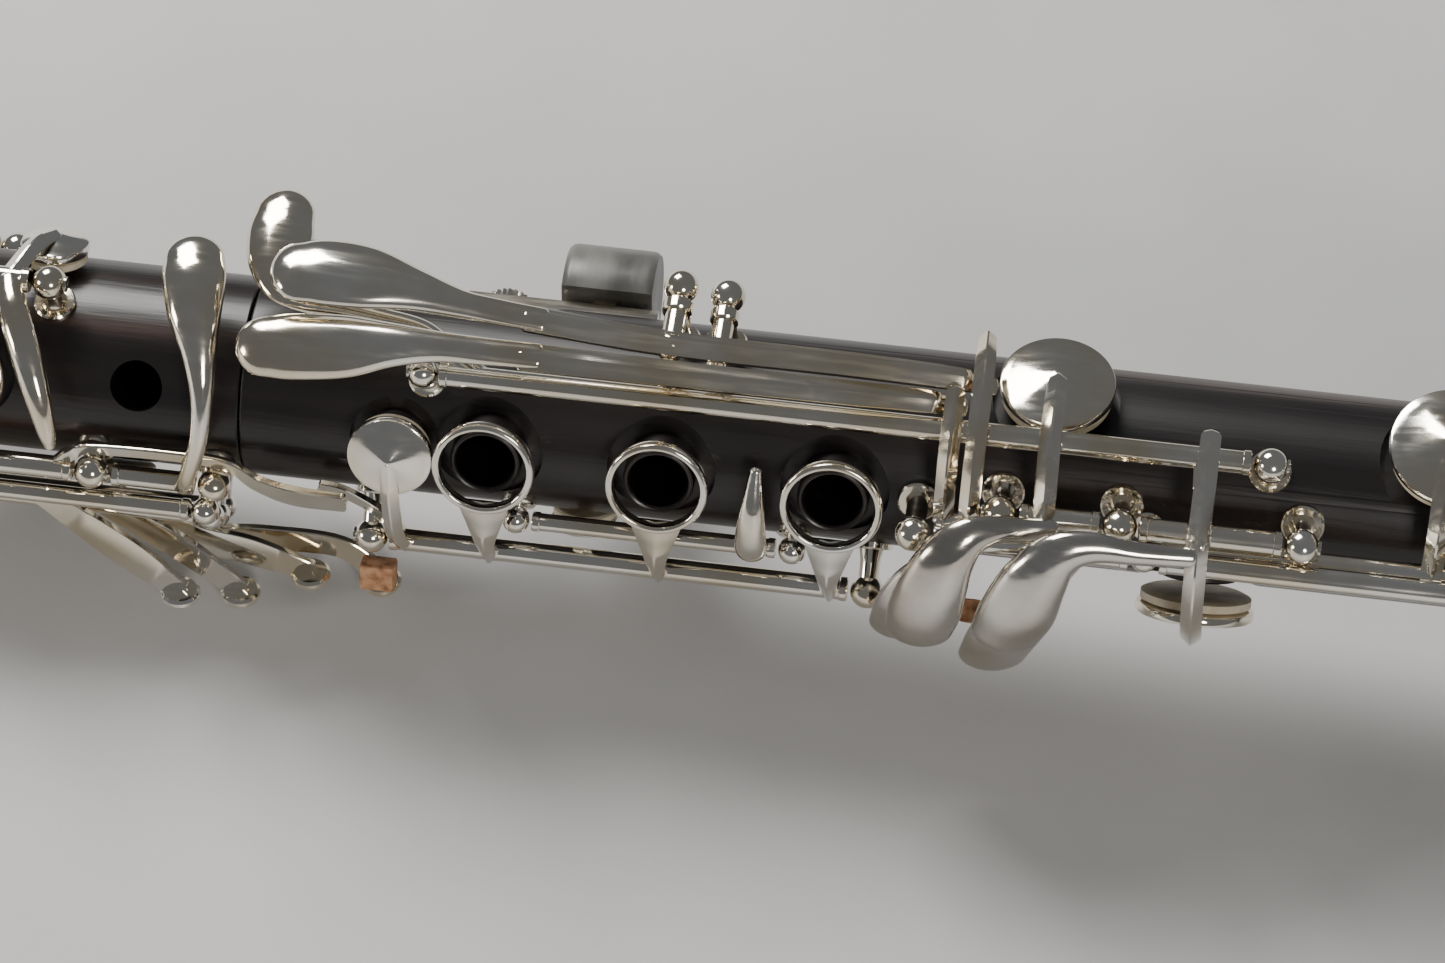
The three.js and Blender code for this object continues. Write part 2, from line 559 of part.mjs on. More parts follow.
function lowerJoint() {
  const wood = turned([
    [0, 11.5], [0, BODY_RADIUS], [LOWER_END - 14, BODY_RADIUS], [LOWER_END - 3, 14.8], [LOWER_END - GAP, 14.8],
    [LOWER_END - GAP, 10.9], [LOWER_END + 16, 10.9], [LOWER_END + 16, 10], [LOWER_END - 30, 8.6],
    [110, BORE_RADIUS], [12, BORE_RADIUS], [12, 11.5], [0, 11.5],
  ], 26);
  const posts = [
    ...postsOf(lowerRingHinge),
    post(forkHinge.from - FORK_BALL - GAP, forkHinge.angle, forkHinge.radius, FORK_BALL),
    post(forkHinge.to + FORK_BALL + GAP, forkHinge.angle, forkHinge.radius, FORK_BALL),
    ...frontLine.posts.map((s) => post(s, frontLine.angle, frontLine.radius)),
    doublePost(ROD_POST, BALL), doublePost(ROD_SPLIT, 1.7),
    post(LOW_ROD_END, 0, lowRod.front, lowRod.ball), post(HIGH_ROD_END, 0, highRod.front),
    post(longHinge.from - 2 - GAP, longHinge.angle, longHinge.radius, 2), post(135.5, longHinge.angle, longHinge.radius),
    ...LEVER_PIVOTS.map((pivot) => crossPost(pivot, pivot.reach + 2)),
    crossPost(LEVER_PIVOTS[0], -4.9, 1.3),
  ];
  const seats = [
    ...RH_RINGS.map((s) => ringSeat(s, 0)),
    padSeat(LOWER_RING_PAD.s, 0, 6.1, 4.4, 3),
    padSeat(A_FLAT_PAD.s, A_FLAT_PAD.angle, 8.4, 5.6, 4),
    padSeat(F_SHARP_PAD.s, F_SHARP_PAD.angle, 8.6, 5.8, 4.6),
    padSeat(F_C_PAD.s, F_C_PAD.angle, 9, 6.2, 5),
    padSeat(E_B_PAD.s, E_B_PAD.angle, 9.4, 6.4, 5.2),
  ];
  return join([withSeats(wood, seats), ...posts]);
}

place('lower_joint', lowerJoint(), woods);
place('lower_tenon_cork', band(LOWER_END + 3, LOWER_END + 14, 11.2, 11.9), corks);

// Keys of the lower joint.
function lowerRingKey() {
  const { angle, radius, from, to } = lowerRingHinge;
  const arms = RH_RINGS.map((s) => polarBar([
    [s, -20, 18.0, 3.2, 0.8], [s, -34, 19.4, 1.7, 0.8], [s, -48, 20.4, 1.4, 0.8], [s, angle, 20.6, 1.3, 0.9],
  ]));
  const padArm = polarBar([
    [21, 0, 18.2, 1.3, 0.7], [21.3, -20, 19, 1.4, 0.7], [21.6, -42, 20.2, 1.3, 0.7], [21.8, angle, 20.6, 1.2, 0.7],
  ]);
  const catchArm = polarBar([
    [21, -58, 18.6, 1.2, 0.6], [18.6, -47, 16.6, 1.2, 0.5], [14, -36, 15.5, 1.3, 0.4], [11, -33, 15.4, 1.3, 0.4],
  ]);
  return join([
    tubeAlong(from, to, angle, radius), ...RH_RINGS.map((s) => fingerRing(s, 0)), ...arms, padArm, catchArm,
    cup(LOWER_RING_PAD.s, 0, 16.2, 5.7),
  ]);
}

function forkKey() {
  const { angle, radius, from, to } = forkHinge;
  const touch = polarBar([
    [69, angle, 16.6, 1.4, 0.7], [69, -40, 17.4, 2.0, 0.9], [69.1, -25, 18.0, 2.1, 1.0], [69.2, -8, 17.7, 1.7, 0.9],
    [69.3, 14, 16.8, 0.8, 0.6],
  ], { corners: 8 });
  const padArm = polarBar([
    [46, angle - 4, 15.9, 1.2, 0.6], [45.5, -68, 16.4, 1.2, 0.6], [FORK_PAD.s, FORK_PAD.angle, 16.8, 1.2, 0.6],
  ]);
  return join([
    tubeAlong(from, to, angle, radius, 1.2), touch, padArm, cup(FORK_PAD.s, FORK_PAD.angle, 15.4, 4.6, 0.8),
  ]);
}

// A touch for the little finger: a pillow-shaped plate that starts at its hinge and spreads to a round end.
const A_FLAT_TOUCH = [
  [109, -3.9, 22.6, 1.3, 0.8], [105.5, -3, 24.3, 1.9, 0.9], [101.5, -0.5, 25.8, 3, 1.2], [98, 3.6, 26.2, 4.2, 1.5],
  [95.2, 8.6, 25.4, 4.9, 1.6], [93.2, 13.6, 23.4, 5, 1.6], [92, 18, 21, 4.3, 1.4], [91.5, 20.6, 19.2, 2, 0.9],
];
const F_SHARP_TOUCH = [
  [126.5, -2.6, 24, 1.4, 0.8], [121, -1.5, 25.3, 1.5, 0.9], [115.5, -0.6, 25.8, 1.8, 1], [110.5, 1.8, 26.2, 3, 1.3],
  [107.5, 6.2, 25.9, 4.3, 1.5], [105.4, 11, 24.9, 4.9, 1.6], [104, 15.6, 22.9, 4.7, 1.5], [103.2, 18.8, 20.8, 2.2, 0.9],
];
const F_C_TOUCH = [
  [99.5, 1.2, 18.2, 1.2, 0.8], [97.5, 5.2, 18, 1.8, 0.9], [94.5, 10.2, 17.4, 3.2, 1.2], [91.8, 14.8, 15.6, 4.2, 1.3],
  [90.2, 18.4, 13.6, 4.4, 1.3], [89.4, 21.2, 11.6, 3.8, 1.2], [89, 22.8, 10.2, 1.8, 0.8],
];
const E_B_TOUCH = [
  [112, 1, 21.8, 1.2, 0.8], [110, 5.6, 19.4, 2.4, 1], [107.5, 11.6, 17.8, 4, 1.2], [105.2, 17.2, 15.6, 4.8, 1.4],
  [103.6, 22, 13.4, 4.7, 1.4], [102.8, 25.6, 11.4, 4.1, 1.3], [102.4, 27.6, 10, 2, 0.9],
];

const frontTube = (i) => tubeAlong(
  frontLine.posts[i] + BALL + GAP, frontLine.posts[i + 1] - BALL - GAP, frontLine.angle, frontLine.radius);

function aFlatKey() {
  const padArm = polarBar([
    [107.2, 11, 22.8, 1.4, 0.8], [107.1, 26, 22.9, 1.4, 0.9], [107, 39, 22.1, 1.4, 0.9], [107, 52, 20.4, 1.4, 0.9],
    [107, A_FLAT_PAD.angle, 17.8, 1.3, 0.9],
  ]);
  return join([
    frontTube(0), padArm, acrossBar(A_FLAT_TOUCH, { corners: 8 }), cup(A_FLAT_PAD.s, A_FLAT_PAD.angle, 15.3, 7.6, 1.8),
  ]);
}

function fSharpKey() {
  const arm = acrossBar([
    [127.4, -15.6, 15.2, 1.3, 0.9], [127.3, -10.8, 20, 1.4, 0.9], [127.2, -4.1, 24.2, 1.4, 1], [127.3, 0.5, 25.2, 1.4, 1],
    [127.4, 5, 24.4, 1.4, 1], [127.6, 10.4, 21, 1.4, 1], [127.8, 15.2, 15.6, 1.4, 0.9], [127.9, 18.4, 10.2, 1.3, 0.9],
    [128, 18.9, 7, 1.2, 0.9],
  ]);
  const collar = rod(polar(125.6, frontLine.angle, 21.5), polar(128.8, frontLine.angle, 21.5), 2, 10);
  const neck = acrossBar([[127.2, -4.1, 21.1, 1.2, 0.9], [127.2, -4.1, 24.2, 1.2, 0.9]],
    { normal: new THREE.Vector3(0, 0, 1) });
  return join([
    frontTube(1), collar, neck, arm, acrossBar(F_SHARP_TOUCH, { corners: 8 }),
    cup(F_SHARP_PAD.s, F_SHARP_PAD.angle, 16.9, 7.9, 1.6),
  ]);
}

const crossRod = (from, to, front) => rod(across(from, 0, front), across(to, 0, front), TUBE);

function fcKey() {
  const arm = acrossBar([
    [94.2, 0, 19.2, 1.25, 0.8], [94.2, -4.5, 20.2, 1.25, 0.9], [94.2, -9.5, 19.2, 1.25, 0.9],
    [94.2, -14, 16.3, 1.25, 0.9], [94.2, -17, 13.2, 1.25, 0.9],
  ]);
  return join([crossRod(93.2, ROD_SPLIT - 2, lowRod.front), arm, acrossBar(F_C_TOUCH, { corners: 8 })]);
}

function ebKey() {
  const arm = acrossBar([
    [97.6, -0.8, 22.4, 1.25, 0.8], [97.6, -6, 22.4, 1.25, 0.9], [97.6, -12, 19.4, 1.25, 0.9],
    [97.6, -17, 14.6, 1.25, 0.9], [97.5, -20, 9, 1.25, 0.9], [97.4, -21, 4.8, 1.2, 0.9],
  ]);
  return join([crossRod(93.4, ROD_SPLIT - 2, highRod.front), arm, acrossBar(E_B_TOUCH, { corners: 8 })]);
}

function bigPadKey(pad, radius, rodFront, end, armStart) {
  const arm = acrossBar([
    [pad.s - 1, -0.8, rodFront + 0.4, 1.4, 0.9], [pad.s - 0.9, ...armStart, 1.4, 0.9],
    [pad.s - 0.6, ...crossing(pad.angle - 16, 20), 1.4, 0.9], [pad.s, ...crossing(pad.angle, 18.7), 1.3, 0.9],
  ]);
  return join([
    crossRod(ROD_SPLIT + 2, end - BALL - GAP, rodFront), arm, cup(pad.s, pad.angle, 16.8, radius, 1.8),
  ]);
}

function crossing(angle, radius) {
  return [-radius * Math.sin(rad(angle)), radius * Math.cos(rad(angle))];
}

// The left-hand levers. Two rock on pivots across the body and reach under the crossing arms, and the
// third turns a long tube that lifts the F sharp key.
const LEVER_ONE = [
  [4.6, -23.4, 13.8, 2.2, 1.1], [6.4, -24.3, 13.3, 3.7, 1.5], [11, -24.7, 12.6, 4.3, 1.7], [17, -24.4, 12.5, 4, 1.6],
  [23, -23.2, 12.7, 2.8, 1.4], [29, -21.6, 12.8, 2, 1.2], [40, -20.4, 12.6, 1.8, 1], [56.6, -18.9, 12.1, 1.7, 0.9],
  [80, -18.3, 11.4, 1.7, 0.9], [94.2, -17.6, 10.8, 1.6, 0.8], [95.6, -16.9, 10.4, 1.3, 0.6], [99, -16.5, 10.2, 1.2, 0.6],
];
const LEVER_TWO = [
  [0.4, -14.9, 18.4, 2.2, 1.1], [2.2, -15.2, 18.3, 3.8, 1.5], [8, -15.6, 18.2, 4.3, 1.7], [15, -16.3, 17.9, 4, 1.6],
  [21, -17, 17.4, 2.8, 1.4], [27, -17.2, 16.9, 2, 1.2], [40, -17, 16.3, 1.8, 1], [62.8, -16.4, 15.4, 1.6, 0.9],
  [80, -15.9, 14.6, 1.6, 0.9], [90.6, -15.4, 13.7, 1.5, 0.8], [92, -14.6, 13, 1.3, 0.6], [95.4, -14.3, 12.6, 1.2, 0.6],
];

function leverOne() {
  const pivot = LEVER_PIVOTS[0];
  const tube = rod(crossPivot(pivot, -3.2), crossPivot(pivot, pivot.reach + 2 - BALL - GAP), 1.5);
  const saddle = bar([[crossPivot(pivot, -2), 1.3, 1.2], [across(56.6, -18.6, 11.6), 1.3, 1.2]],
    { normal: radialDirection(pivot.angle + 90) });
  return join([tube, saddle, acrossBar(LEVER_ONE, { corners: 8 })]);
}

function leverTwo() {
  const pivot = LEVER_PIVOTS[1];
  const tube = rod(crossPivot(pivot, -5.4), crossPivot(pivot, pivot.reach + 2 - BALL - GAP), 1.4);
  const saddle = bar([[crossPivot(pivot, -5), 1.3, 0.5], [across(62.8, -15.9, 14.8), 1.3, 0.5]],
    { normal: radialDirection(pivot.angle + 90) });
  return join([tube, saddle, acrossBar(LEVER_TWO, { corners: 8 })]);
}

// The third lever's knots are [s, out, left, half width, half thickness], where out and left are measured
// along and across the direction of the lever pivots.
const LEVER_THREE = [
  [3.6, 22.4, 14.2, 2, 0.9], [3.3, 22.4, 12, 3.7, 1.3], [3.3, 22.2, 8, 4.3, 1.4], [3.8, 21.7, 4, 4, 1.2],
  [5.4, 21.2, 0.6, 3.1, 1], [8.6, 21, -1.2, 2.1, 0.9], [13, 20.7, -1.8, 1.6, 0.9], [18, 20.4, -2.4, 1.5, 0.9],
  [24, 19.8, -3.1, 1.4, 0.8], [28, 18.5, -5.3, 1.4, 0.8], [31, 17.3, -7, 1.4, 0.9], [33, 16.9, -7.8, 1.4, 0.9],
];

function leverThree() {
  const outward = radialDirection(leverPivot.angle);
  const leftward = radialDirection(leverPivot.angle + 90);
  const knots = LEVER_THREE.map(([s, out, left, w, t]) => [
    outward.clone().multiplyScalar(out).addScaledVector(leftward, left).setX(s), w, t,
  ]);
  const lug = acrossBar([[126.9, -11.8, 15, 1.3, 0.9], [126.9, -8.8, 18, 1.2, 0.6]]);
  const { from, to, angle, radius } = longHinge;
  return join([
    tubeAlong(from, to, angle, radius), lug, bar(knots, { normal: outward, corners: 8 }),
  ]);
}

place('lower_ring_key', lowerRingKey(), metals);
place('b_f_sharp_fork_key', forkKey(), metals);
place('a_flat_e_flat_key', aFlatKey(), metals);
place('f_sharp_c_sharp_key', fSharpKey(), metals);
place('f_c_key', fcKey(), metals);
place('e_b_key', ebKey(), metals);
place('f_c_pad_key', bigPadKey(F_C_PAD, 8.2, lowRod.front, LOW_ROD_END + 0.5, [-7, 19.4]), metals);
place('e_b_pad_key', bigPadKey(E_B_PAD, 8.6, highRod.front, HIGH_ROD_END, [-7, 21.4]), metals);
place('left_lever_e_b', leverOne(), metals);
place('left_lever_f_c', leverTwo(), metals);
place('left_lever_f_sharp', leverThree(), metals);

place('lower_ring_pad', padDisc(LOWER_RING_PAD.s, 0, 14.6, 5.2), pads);
place('fork_pad', padDisc(FORK_PAD.s, FORK_PAD.angle, 13.8, 4.3), pads);
place('a_flat_pad', plug(A_FLAT_PAD.s, A_FLAT_PAD.angle, 13.4, 15, 7.2, 20), pads);
place('f_sharp_pad', plug(F_SHARP_PAD.s, F_SHARP_PAD.angle, 15.1, 16.6, 7.4, 20), pads);
place('f_c_pad', plug(F_C_PAD.s, F_C_PAD.angle, 15, 16.5, 7.8, 20), pads);
place('e_b_pad', plug(E_B_PAD.s, E_B_PAD.angle, 15, 16.5, 8.2, 20), pads);

// ---- Thumb rest: a plate on the back with a tongue, a rubber cushion and a knurled screw ----
const THUMB_REST = { angle: 165, from: 26, to: 52, tongue: [43, 46] };

function thumbBox(s, out, sideways) {
  const geometry = new THREE.BoxGeometry(s[1] - s[0], out[1] - out[0], sideways * 2);
  geometry.translate((s[0] + s[1]) / 2, (out[0] + out[1]) / 2, 0);
  const up = radialDirection(THUMB_REST.angle);
  const along = new THREE.Vector3(1, 0, 0);
  geometry.applyMatrix4(new THREE.Matrix4().makeBasis(along, up, along.clone().cross(up)));
  return solidOf(geometry);
}

function thumbRest() {
  const plate = thumbBox([THUMB_REST.from, THUMB_REST.to], [BODY_RADIUS + GAP, 15.8], 5);
  const tongue = thumbBox(THUMB_REST.tongue, [15, 27], 5);
  return join([plate, tongue]);
}

function cushion() {
  const out = radialDirection(THUMB_REST.angle);
  const geometry = new THREE.CylinderGeometry(8, 8, 12.4, 24);
  geometry.rotateZ(Math.PI / 2);
  geometry.translate(44.6, out.y * 20.6, out.z * 20.6);
  const rest = thumbBox([30, 60], [0, 16.4], 20);
  const [from, to] = THUMB_REST.tongue;
  const slot = thumbBox([from - GAP, to + GAP], [10, 27 + GAP], 5 + GAP);
  return cut(solidOf(geometry), [rest, slot]);
}

place('thumb_rest', thumbRest(), metals);
place('thumb_rest_cushion', cushion(), rubbers);
place('thumb_rest_screw', plug(31, THUMB_REST.angle, 16.1, 18.8, 3.4, 18), metals);

// ---- Bell: a flared wooden horn with a metal ring on its socket and on its rim ----
place('bell', turned([
  [LOWER_END, 12.2], [LOWER_END, 15.6], [LOWER_END + 6, 15.6], [LOWER_END + 6.2, 16.6], [258, 16.5], [278, 18.3],
  [296, 22.1], [312, 28.2], [323, 34.6], [328.4, 38.2], [328.6, 37.6], [BELL_END - GAP, 37.6], [BELL_END - GAP, 36.6],
  [327, 34.6], [314, 26.4], [298, 20.1], [278, 15], [247, 11.4], [246.5, 12.2], [LOWER_END, 12.2],
], 28), woods);
place('bell_socket_ring', band(LOWER_END + 0.3, LOWER_END + 5.7, 15.9, 17.2), metals);
place('bell_rim_ring', turned([
  [BELL_END, 37.9], [RIM_EDGE - 0.7, 37.9], [RIM_EDGE - 0.7, 39], [RIM_EDGE, BELL_RADIUS],
  [BELL_END - 0.8, BELL_RADIUS], [BELL_END, 39.4], [BELL_END, 37.9],
], 28), metals);

const bounds = new THREE.Box3().setFromObject(clarinet, true);
instrument.position.set(-(bounds.min.x + bounds.max.x) / 2, -(bounds.min.y + bounds.max.y) / 2, -bounds.min.z);

export default clarinet;
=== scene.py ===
import json

import bmesh
import bpy
import numpy as np
from mathutils import Matrix


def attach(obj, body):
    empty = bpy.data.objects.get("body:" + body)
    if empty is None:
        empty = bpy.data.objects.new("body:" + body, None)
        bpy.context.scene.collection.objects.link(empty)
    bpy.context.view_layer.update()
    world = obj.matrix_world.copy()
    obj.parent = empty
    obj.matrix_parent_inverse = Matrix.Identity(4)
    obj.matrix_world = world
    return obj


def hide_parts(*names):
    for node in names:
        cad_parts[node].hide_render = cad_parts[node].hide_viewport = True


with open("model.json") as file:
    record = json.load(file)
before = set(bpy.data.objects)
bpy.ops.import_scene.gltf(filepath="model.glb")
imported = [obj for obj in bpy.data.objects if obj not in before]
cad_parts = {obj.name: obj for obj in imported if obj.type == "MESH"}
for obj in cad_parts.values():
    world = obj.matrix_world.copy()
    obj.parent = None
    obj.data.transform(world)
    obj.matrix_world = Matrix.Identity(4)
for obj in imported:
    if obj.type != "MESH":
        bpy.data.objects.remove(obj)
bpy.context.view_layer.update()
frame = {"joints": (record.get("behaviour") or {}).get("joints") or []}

# ---- The bore line ------------------------------------------------------------------------------------
# Everything on a clarinet is placed from its bore. Its direction, and the way its front faces, come from
# two hinges of the little-finger keys, which lie one above the other over the front of the lower joint.

MM = 0.001
joints = {joint["name"]: joint for joint in frame["joints"]}
low_hinge = np.array(joints["f_c_hinge"]["pos_m"])
high_hinge = np.array(joints["e_b_hinge"]["pos_m"])
LOW_HINGE_AT = (106, 18.2)              # mm along the bore from the middle joint, mm out from the bore
along = np.array(joints["f_c_hinge"]["axis"])
along = along / np.linalg.norm(along)
front_way = high_hinge - low_hinge
front_way = front_way / np.linalg.norm(front_way)
left_way = np.cross(front_way, along)
middle = low_hinge - (LOW_HINGE_AT[0] * along + LOW_HINGE_AT[1] * front_way) * MM


def in_row_frame(points):
    """Points given as (mm along the bore, mm to the right, mm to the front) become metres in the row frame:
    the middle joint plus each distance times its direction."""
    points = np.asarray(points, float)
    way = np.stack([along, -left_way, front_way])
    return middle + (points @ way) * MM


def polar(s, angle, radius):
    """A point at s along the bore, turned angle degrees from the front to the left, radius out."""
    turn = np.radians(angle)
    parts = np.broadcast_arrays(s, -radius * np.sin(turn), radius * np.cos(turn))
    return np.stack([np.asarray(p, float) for p in parts], -1)


def skin(rings, open_ends=False):
    """Faces of a tube of rings: each point joins the next one round its ring and the same one on the next
    ring. The first and last ring are closed by one face each, unless they are joined up or are points."""
    rows, columns = rings.shape[:2]
    index = np.arange(rows * columns).reshape(rows, columns)
    nxt = np.roll(index, -1, axis=1)
    quads = np.stack([index[:-1], nxt[:-1], nxt[1:], index[1:]], -1).reshape(-1, 4).tolist()
    if open_ends:
        return quads
    return quads + [index[0][::-1].tolist(), index[-1].tolist()]


def make_piece(name, shells, material, body, nodes=(), crease=32):
    """One Blender object from several closed skins of rings, all in bore millimetres. Doubled points are
    merged, so that poles and joined ends close, and faces are turned outwards."""
    mesh = bpy.data.meshes.new(name)
    points, faces = [], []
    start = 0
    for rings, joined in shells:
        points.append(in_row_frame(rings.reshape(-1, 3)))
        faces += [[start + i for i in face] for face in skin(rings, joined)]
        start += rings.shape[0] * rings.shape[1]
    mesh.from_pydata(np.vstack(points).tolist(), [], faces)
    work = bmesh.new()
    work.from_mesh(mesh)
    bmesh.ops.remove_doubles(work, verts=work.verts, dist=2e-6)
    bmesh.ops.dissolve_degenerate(work, edges=work.edges, dist=1e-6)
    bmesh.ops.recalc_face_normals(work, faces=work.faces)
    work.to_mesh(mesh)
    work.free()
    mesh.shade_smooth()
    mesh.set_sharp_from_angle(angle=np.radians(crease))
    piece = bpy.data.objects.new(name, mesh)
    bpy.context.scene.collection.objects.link(piece)
    if material is not None:
        mesh.materials.append(material)
    if body is not None:
        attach(piece, body)
        if nodes:
            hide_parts(*nodes)
    return piece


def turned(profile, segments=128):
    """A shape turned about the bore: profile (s, radius) carried round in a circle. A profile that starts
    and ends at the same place is joined up; one that ends on the axis is closed by its poles."""
    profile = np.asarray(profile, float)
    angles = np.linspace(0, 360, segments, endpoint=False)
    rings = polar(profile[:, :1], angles[None, :], profile[:, 1:2])
    return rings, bool(np.allclose(profile[0], profile[-1]))


def standing(s, angle, profile, segments=48):
    """A shape turned about a line that leaves the bore at (s, angle): profile (distance out, radius)."""
    profile = np.asarray(profile, float)
    turn = np.linspace(0, 2 * np.pi, segments, endpoint=False)
    out = polar(0, angle, 1.0)
    side = polar(0, angle + 90, 1.0)
    forward = np.array([1.0, 0, 0])
    around = np.cos(turn)[:, None] * forward + np.sin(turn)[:, None] * side
    rings = forward * s + profile[:, 0, None, None] * out + profile[:, 1, None, None] * around[None]
    return rings, bool(np.allclose(profile[0], profile[-1]))


# ---- Upper and lower joint ----------------------------------------------------------------------------
# Two tubes of grenadilla, turned and bored. Each finger hole lies in a round seat and has a chimney that
# stands up inside its ring; pad holes are shallow seats with a raised rim. Both are cut by a milling bit.

BODY = 13.25
BORE = 7.35
UPPER_FRONT = 16


def noise_node(tree, coordinates, scale, stretch, detail=4, turn=0.0):
    """Noise on object coordinates, squeezed by stretch along each axis and turned about Y."""
    nodes, links = tree.nodes, tree.links
    mapping = nodes.new("ShaderNodeMapping")
    mapping.inputs["Scale"].default_value = stretch
    mapping.inputs["Rotation"].default_value = (0, turn, 0)
    noise = nodes.new("ShaderNodeTexNoise")
    noise.inputs["Scale"].default_value = scale
    noise.inputs["Detail"].default_value = detail
    links.new(coordinates, mapping.inputs["Vector"])
    links.new(mapping.outputs["Vector"], noise.inputs["Vector"])
    return noise.outputs["Fac"]


def ramp_node(tree, value, stops):
    """A colour ramp: stops are (position, (red, green, blue)) or (position, grey)."""
    ramp = tree.nodes.new("ShaderNodeValToRGB")
    elements = ramp.color_ramp.elements
    while len(elements) < len(stops):
        elements.new(0.5)
    for element, (position, colour) in zip(elements, stops):
        element.position = position
        element.color = (*colour, 1) if isinstance(colour, tuple) else (colour, colour, colour, 1)
    tree.links.new(value, ramp.inputs["Fac"])
    return ramp.outputs["Color"]


def new_finish(name):
    """An empty node material with one Principled shader: returns (material, tree, shader, coordinates)."""
    material = bpy.data.materials.new(name)
    material.use_nodes = True
    tree = material.node_tree
    shader = tree.nodes["Principled BSDF"]
    coordinates = tree.nodes.new("ShaderNodeTexCoord").outputs["Object"]
    return material, tree, shader, coordinates


def add_bump(tree, shader, height, strength, distance):
    """A bump from a height value onto the shader's normal, chained on what is already there."""
    bump = tree.nodes.new("ShaderNodeBump")
    bump.inputs["Strength"].default_value = strength
    bump.inputs["Distance"].default_value = distance
    tree.links.new(height, bump.inputs["Height"])
    if shader.inputs["Normal"].is_linked:
        tree.links.new(shader.inputs["Normal"].links[0].from_socket, bump.inputs["Normal"])
    tree.links.new(bump.outputs["Normal"], shader.inputs["Normal"])


def grenadilla_finish(name, red):
    """Dark oiled wood: long fine pores and soft streaks along the bore, a little redder where red is high."""
    material, tree, shader, coordinates = new_finish(name)
    tilt = float(np.arctan2(along[2], along[0]))
    streak = noise_node(tree, coordinates, 160, (0.06, 1, 1), 6, tilt)
    colour = ramp_node(tree, streak, [
        (0.30, (0.004, 0.0032, 0.0034)), (0.52, (0.011, 0.0075, 0.0075)),
        (0.72, (0.022 + red, 0.012 + red * 0.35, 0.010 + red * 0.2)),
    ])
    tree.links.new(colour, shader.inputs["Base Color"])
    wear = noise_node(tree, coordinates, 60, (0.3, 1, 1), 5, tilt)
    tree.links.new(ramp_node(tree, wear, [(0.3, 0.26), (0.7, 0.42)]), shader.inputs["Roughness"])
    pores = noise_node(tree, coordinates, 1500, (0.035, 1, 1), 3, tilt)
    add_bump(tree, shader, pores, 0.35, 0.00012)
    add_bump(tree, shader, streak, 0.12, 0.0002)
    shader.inputs["Coat Weight"].default_value = 0.12
    shader.inputs["Coat Roughness"].default_value = 0.22
    return material


grenadilla = grenadilla_finish("oiled_grenadilla", 0.004)
red_grenadilla = grenadilla_finish("reddish_grenadilla", 0.03)


def plug(s, angle, low, high, radius, segments=64):
    """A round plug that stands on the bore, used as a milling bit or a solid disc."""
    return standing(s, angle, [(low, 0), (low, radius), (high, radius), (high, 0)], segments)


def mill(wood, bits):
    """Cuts round bits out of a wooden piece, once, and keeps the result as its mesh."""
    tool = make_piece("milling_bits", bits, None, None)
    cutter = wood.modifiers.new("milled", "BOOLEAN")
    cutter.operation = "DIFFERENCE"
    cutter.solver = "EXACT"
    cutter.use_self = True
    cutter.object = tool
    evaluated = wood.evaluated_get(bpy.context.evaluated_depsgraph_get())
    cut = bpy.data.meshes.new_from_object(evaluated)
    wood.modifiers.clear()
    wood.data = cut
    bpy.data.objects.remove(tool)
    cut.shade_smooth()
    cut.set_sharp_from_angle(angle=np.radians(30))


FINGER_SEAT = 7.2
FINGER_SEAT_FLOOR = 10.9
FINGER_HOLE = 3.9
PAD_SEAT_FLOOR = 11.8
ABOVE_WOOD = 20
finger_holes = {
    "upper_joint": [(-62, UPPER_FRONT), (-37.5, UPPER_FRONT), (-56, 196)],
    "lower_joint": [(33.5, 0), (56.5, 0), (79.5, 0)],
}
# each pad hole: along the bore, angle, radius of the seat, of the chimney and of the hole
pad_holes = {
    "upper_joint": [(-50, UPPER_FRONT, 5.6, 4, 2.6)],
    "lower_joint": [
        (21, 0, 6.1, 4.4, 3), (107, 70, 8.4, 5.6, 4), (128, -70, 8.6, 5.8, 4.6), (158.4, 56, 9, 6.2, 5),
        (190, 52, 9.4, 6.4, 5.2),
    ],
}
profiles = {
    "upper_joint": [
        (-210, BORE), (-210, 10), (-209.6, 10.2), (-195.2, 10.2), (-195, 10.4), (-195, 14), (-194.8, 14.2),
        (-191, 14.2), (-183, BODY), (-0.5, BODY), (-0.3, BODY - 0.15), (-0.3, 10.3),
        (11.2, 10.3), (11.5, 10.1),
        (11.5, BORE), (-210, BORE),
    ],
    "lower_joint": [
        (0, 11.5), (0, BODY - 0.15), (0.2, BODY), (214, BODY), (219, 13.7), (225, 14.8), (227.5, 14.8),
        (227.7, 14.6), (227.7, 10.9), (244, 10.9), (244, 10), (198, 8.6), (110, BORE), (12, BORE), (12, 11.5),
        (0, 11.5),
    ],
}
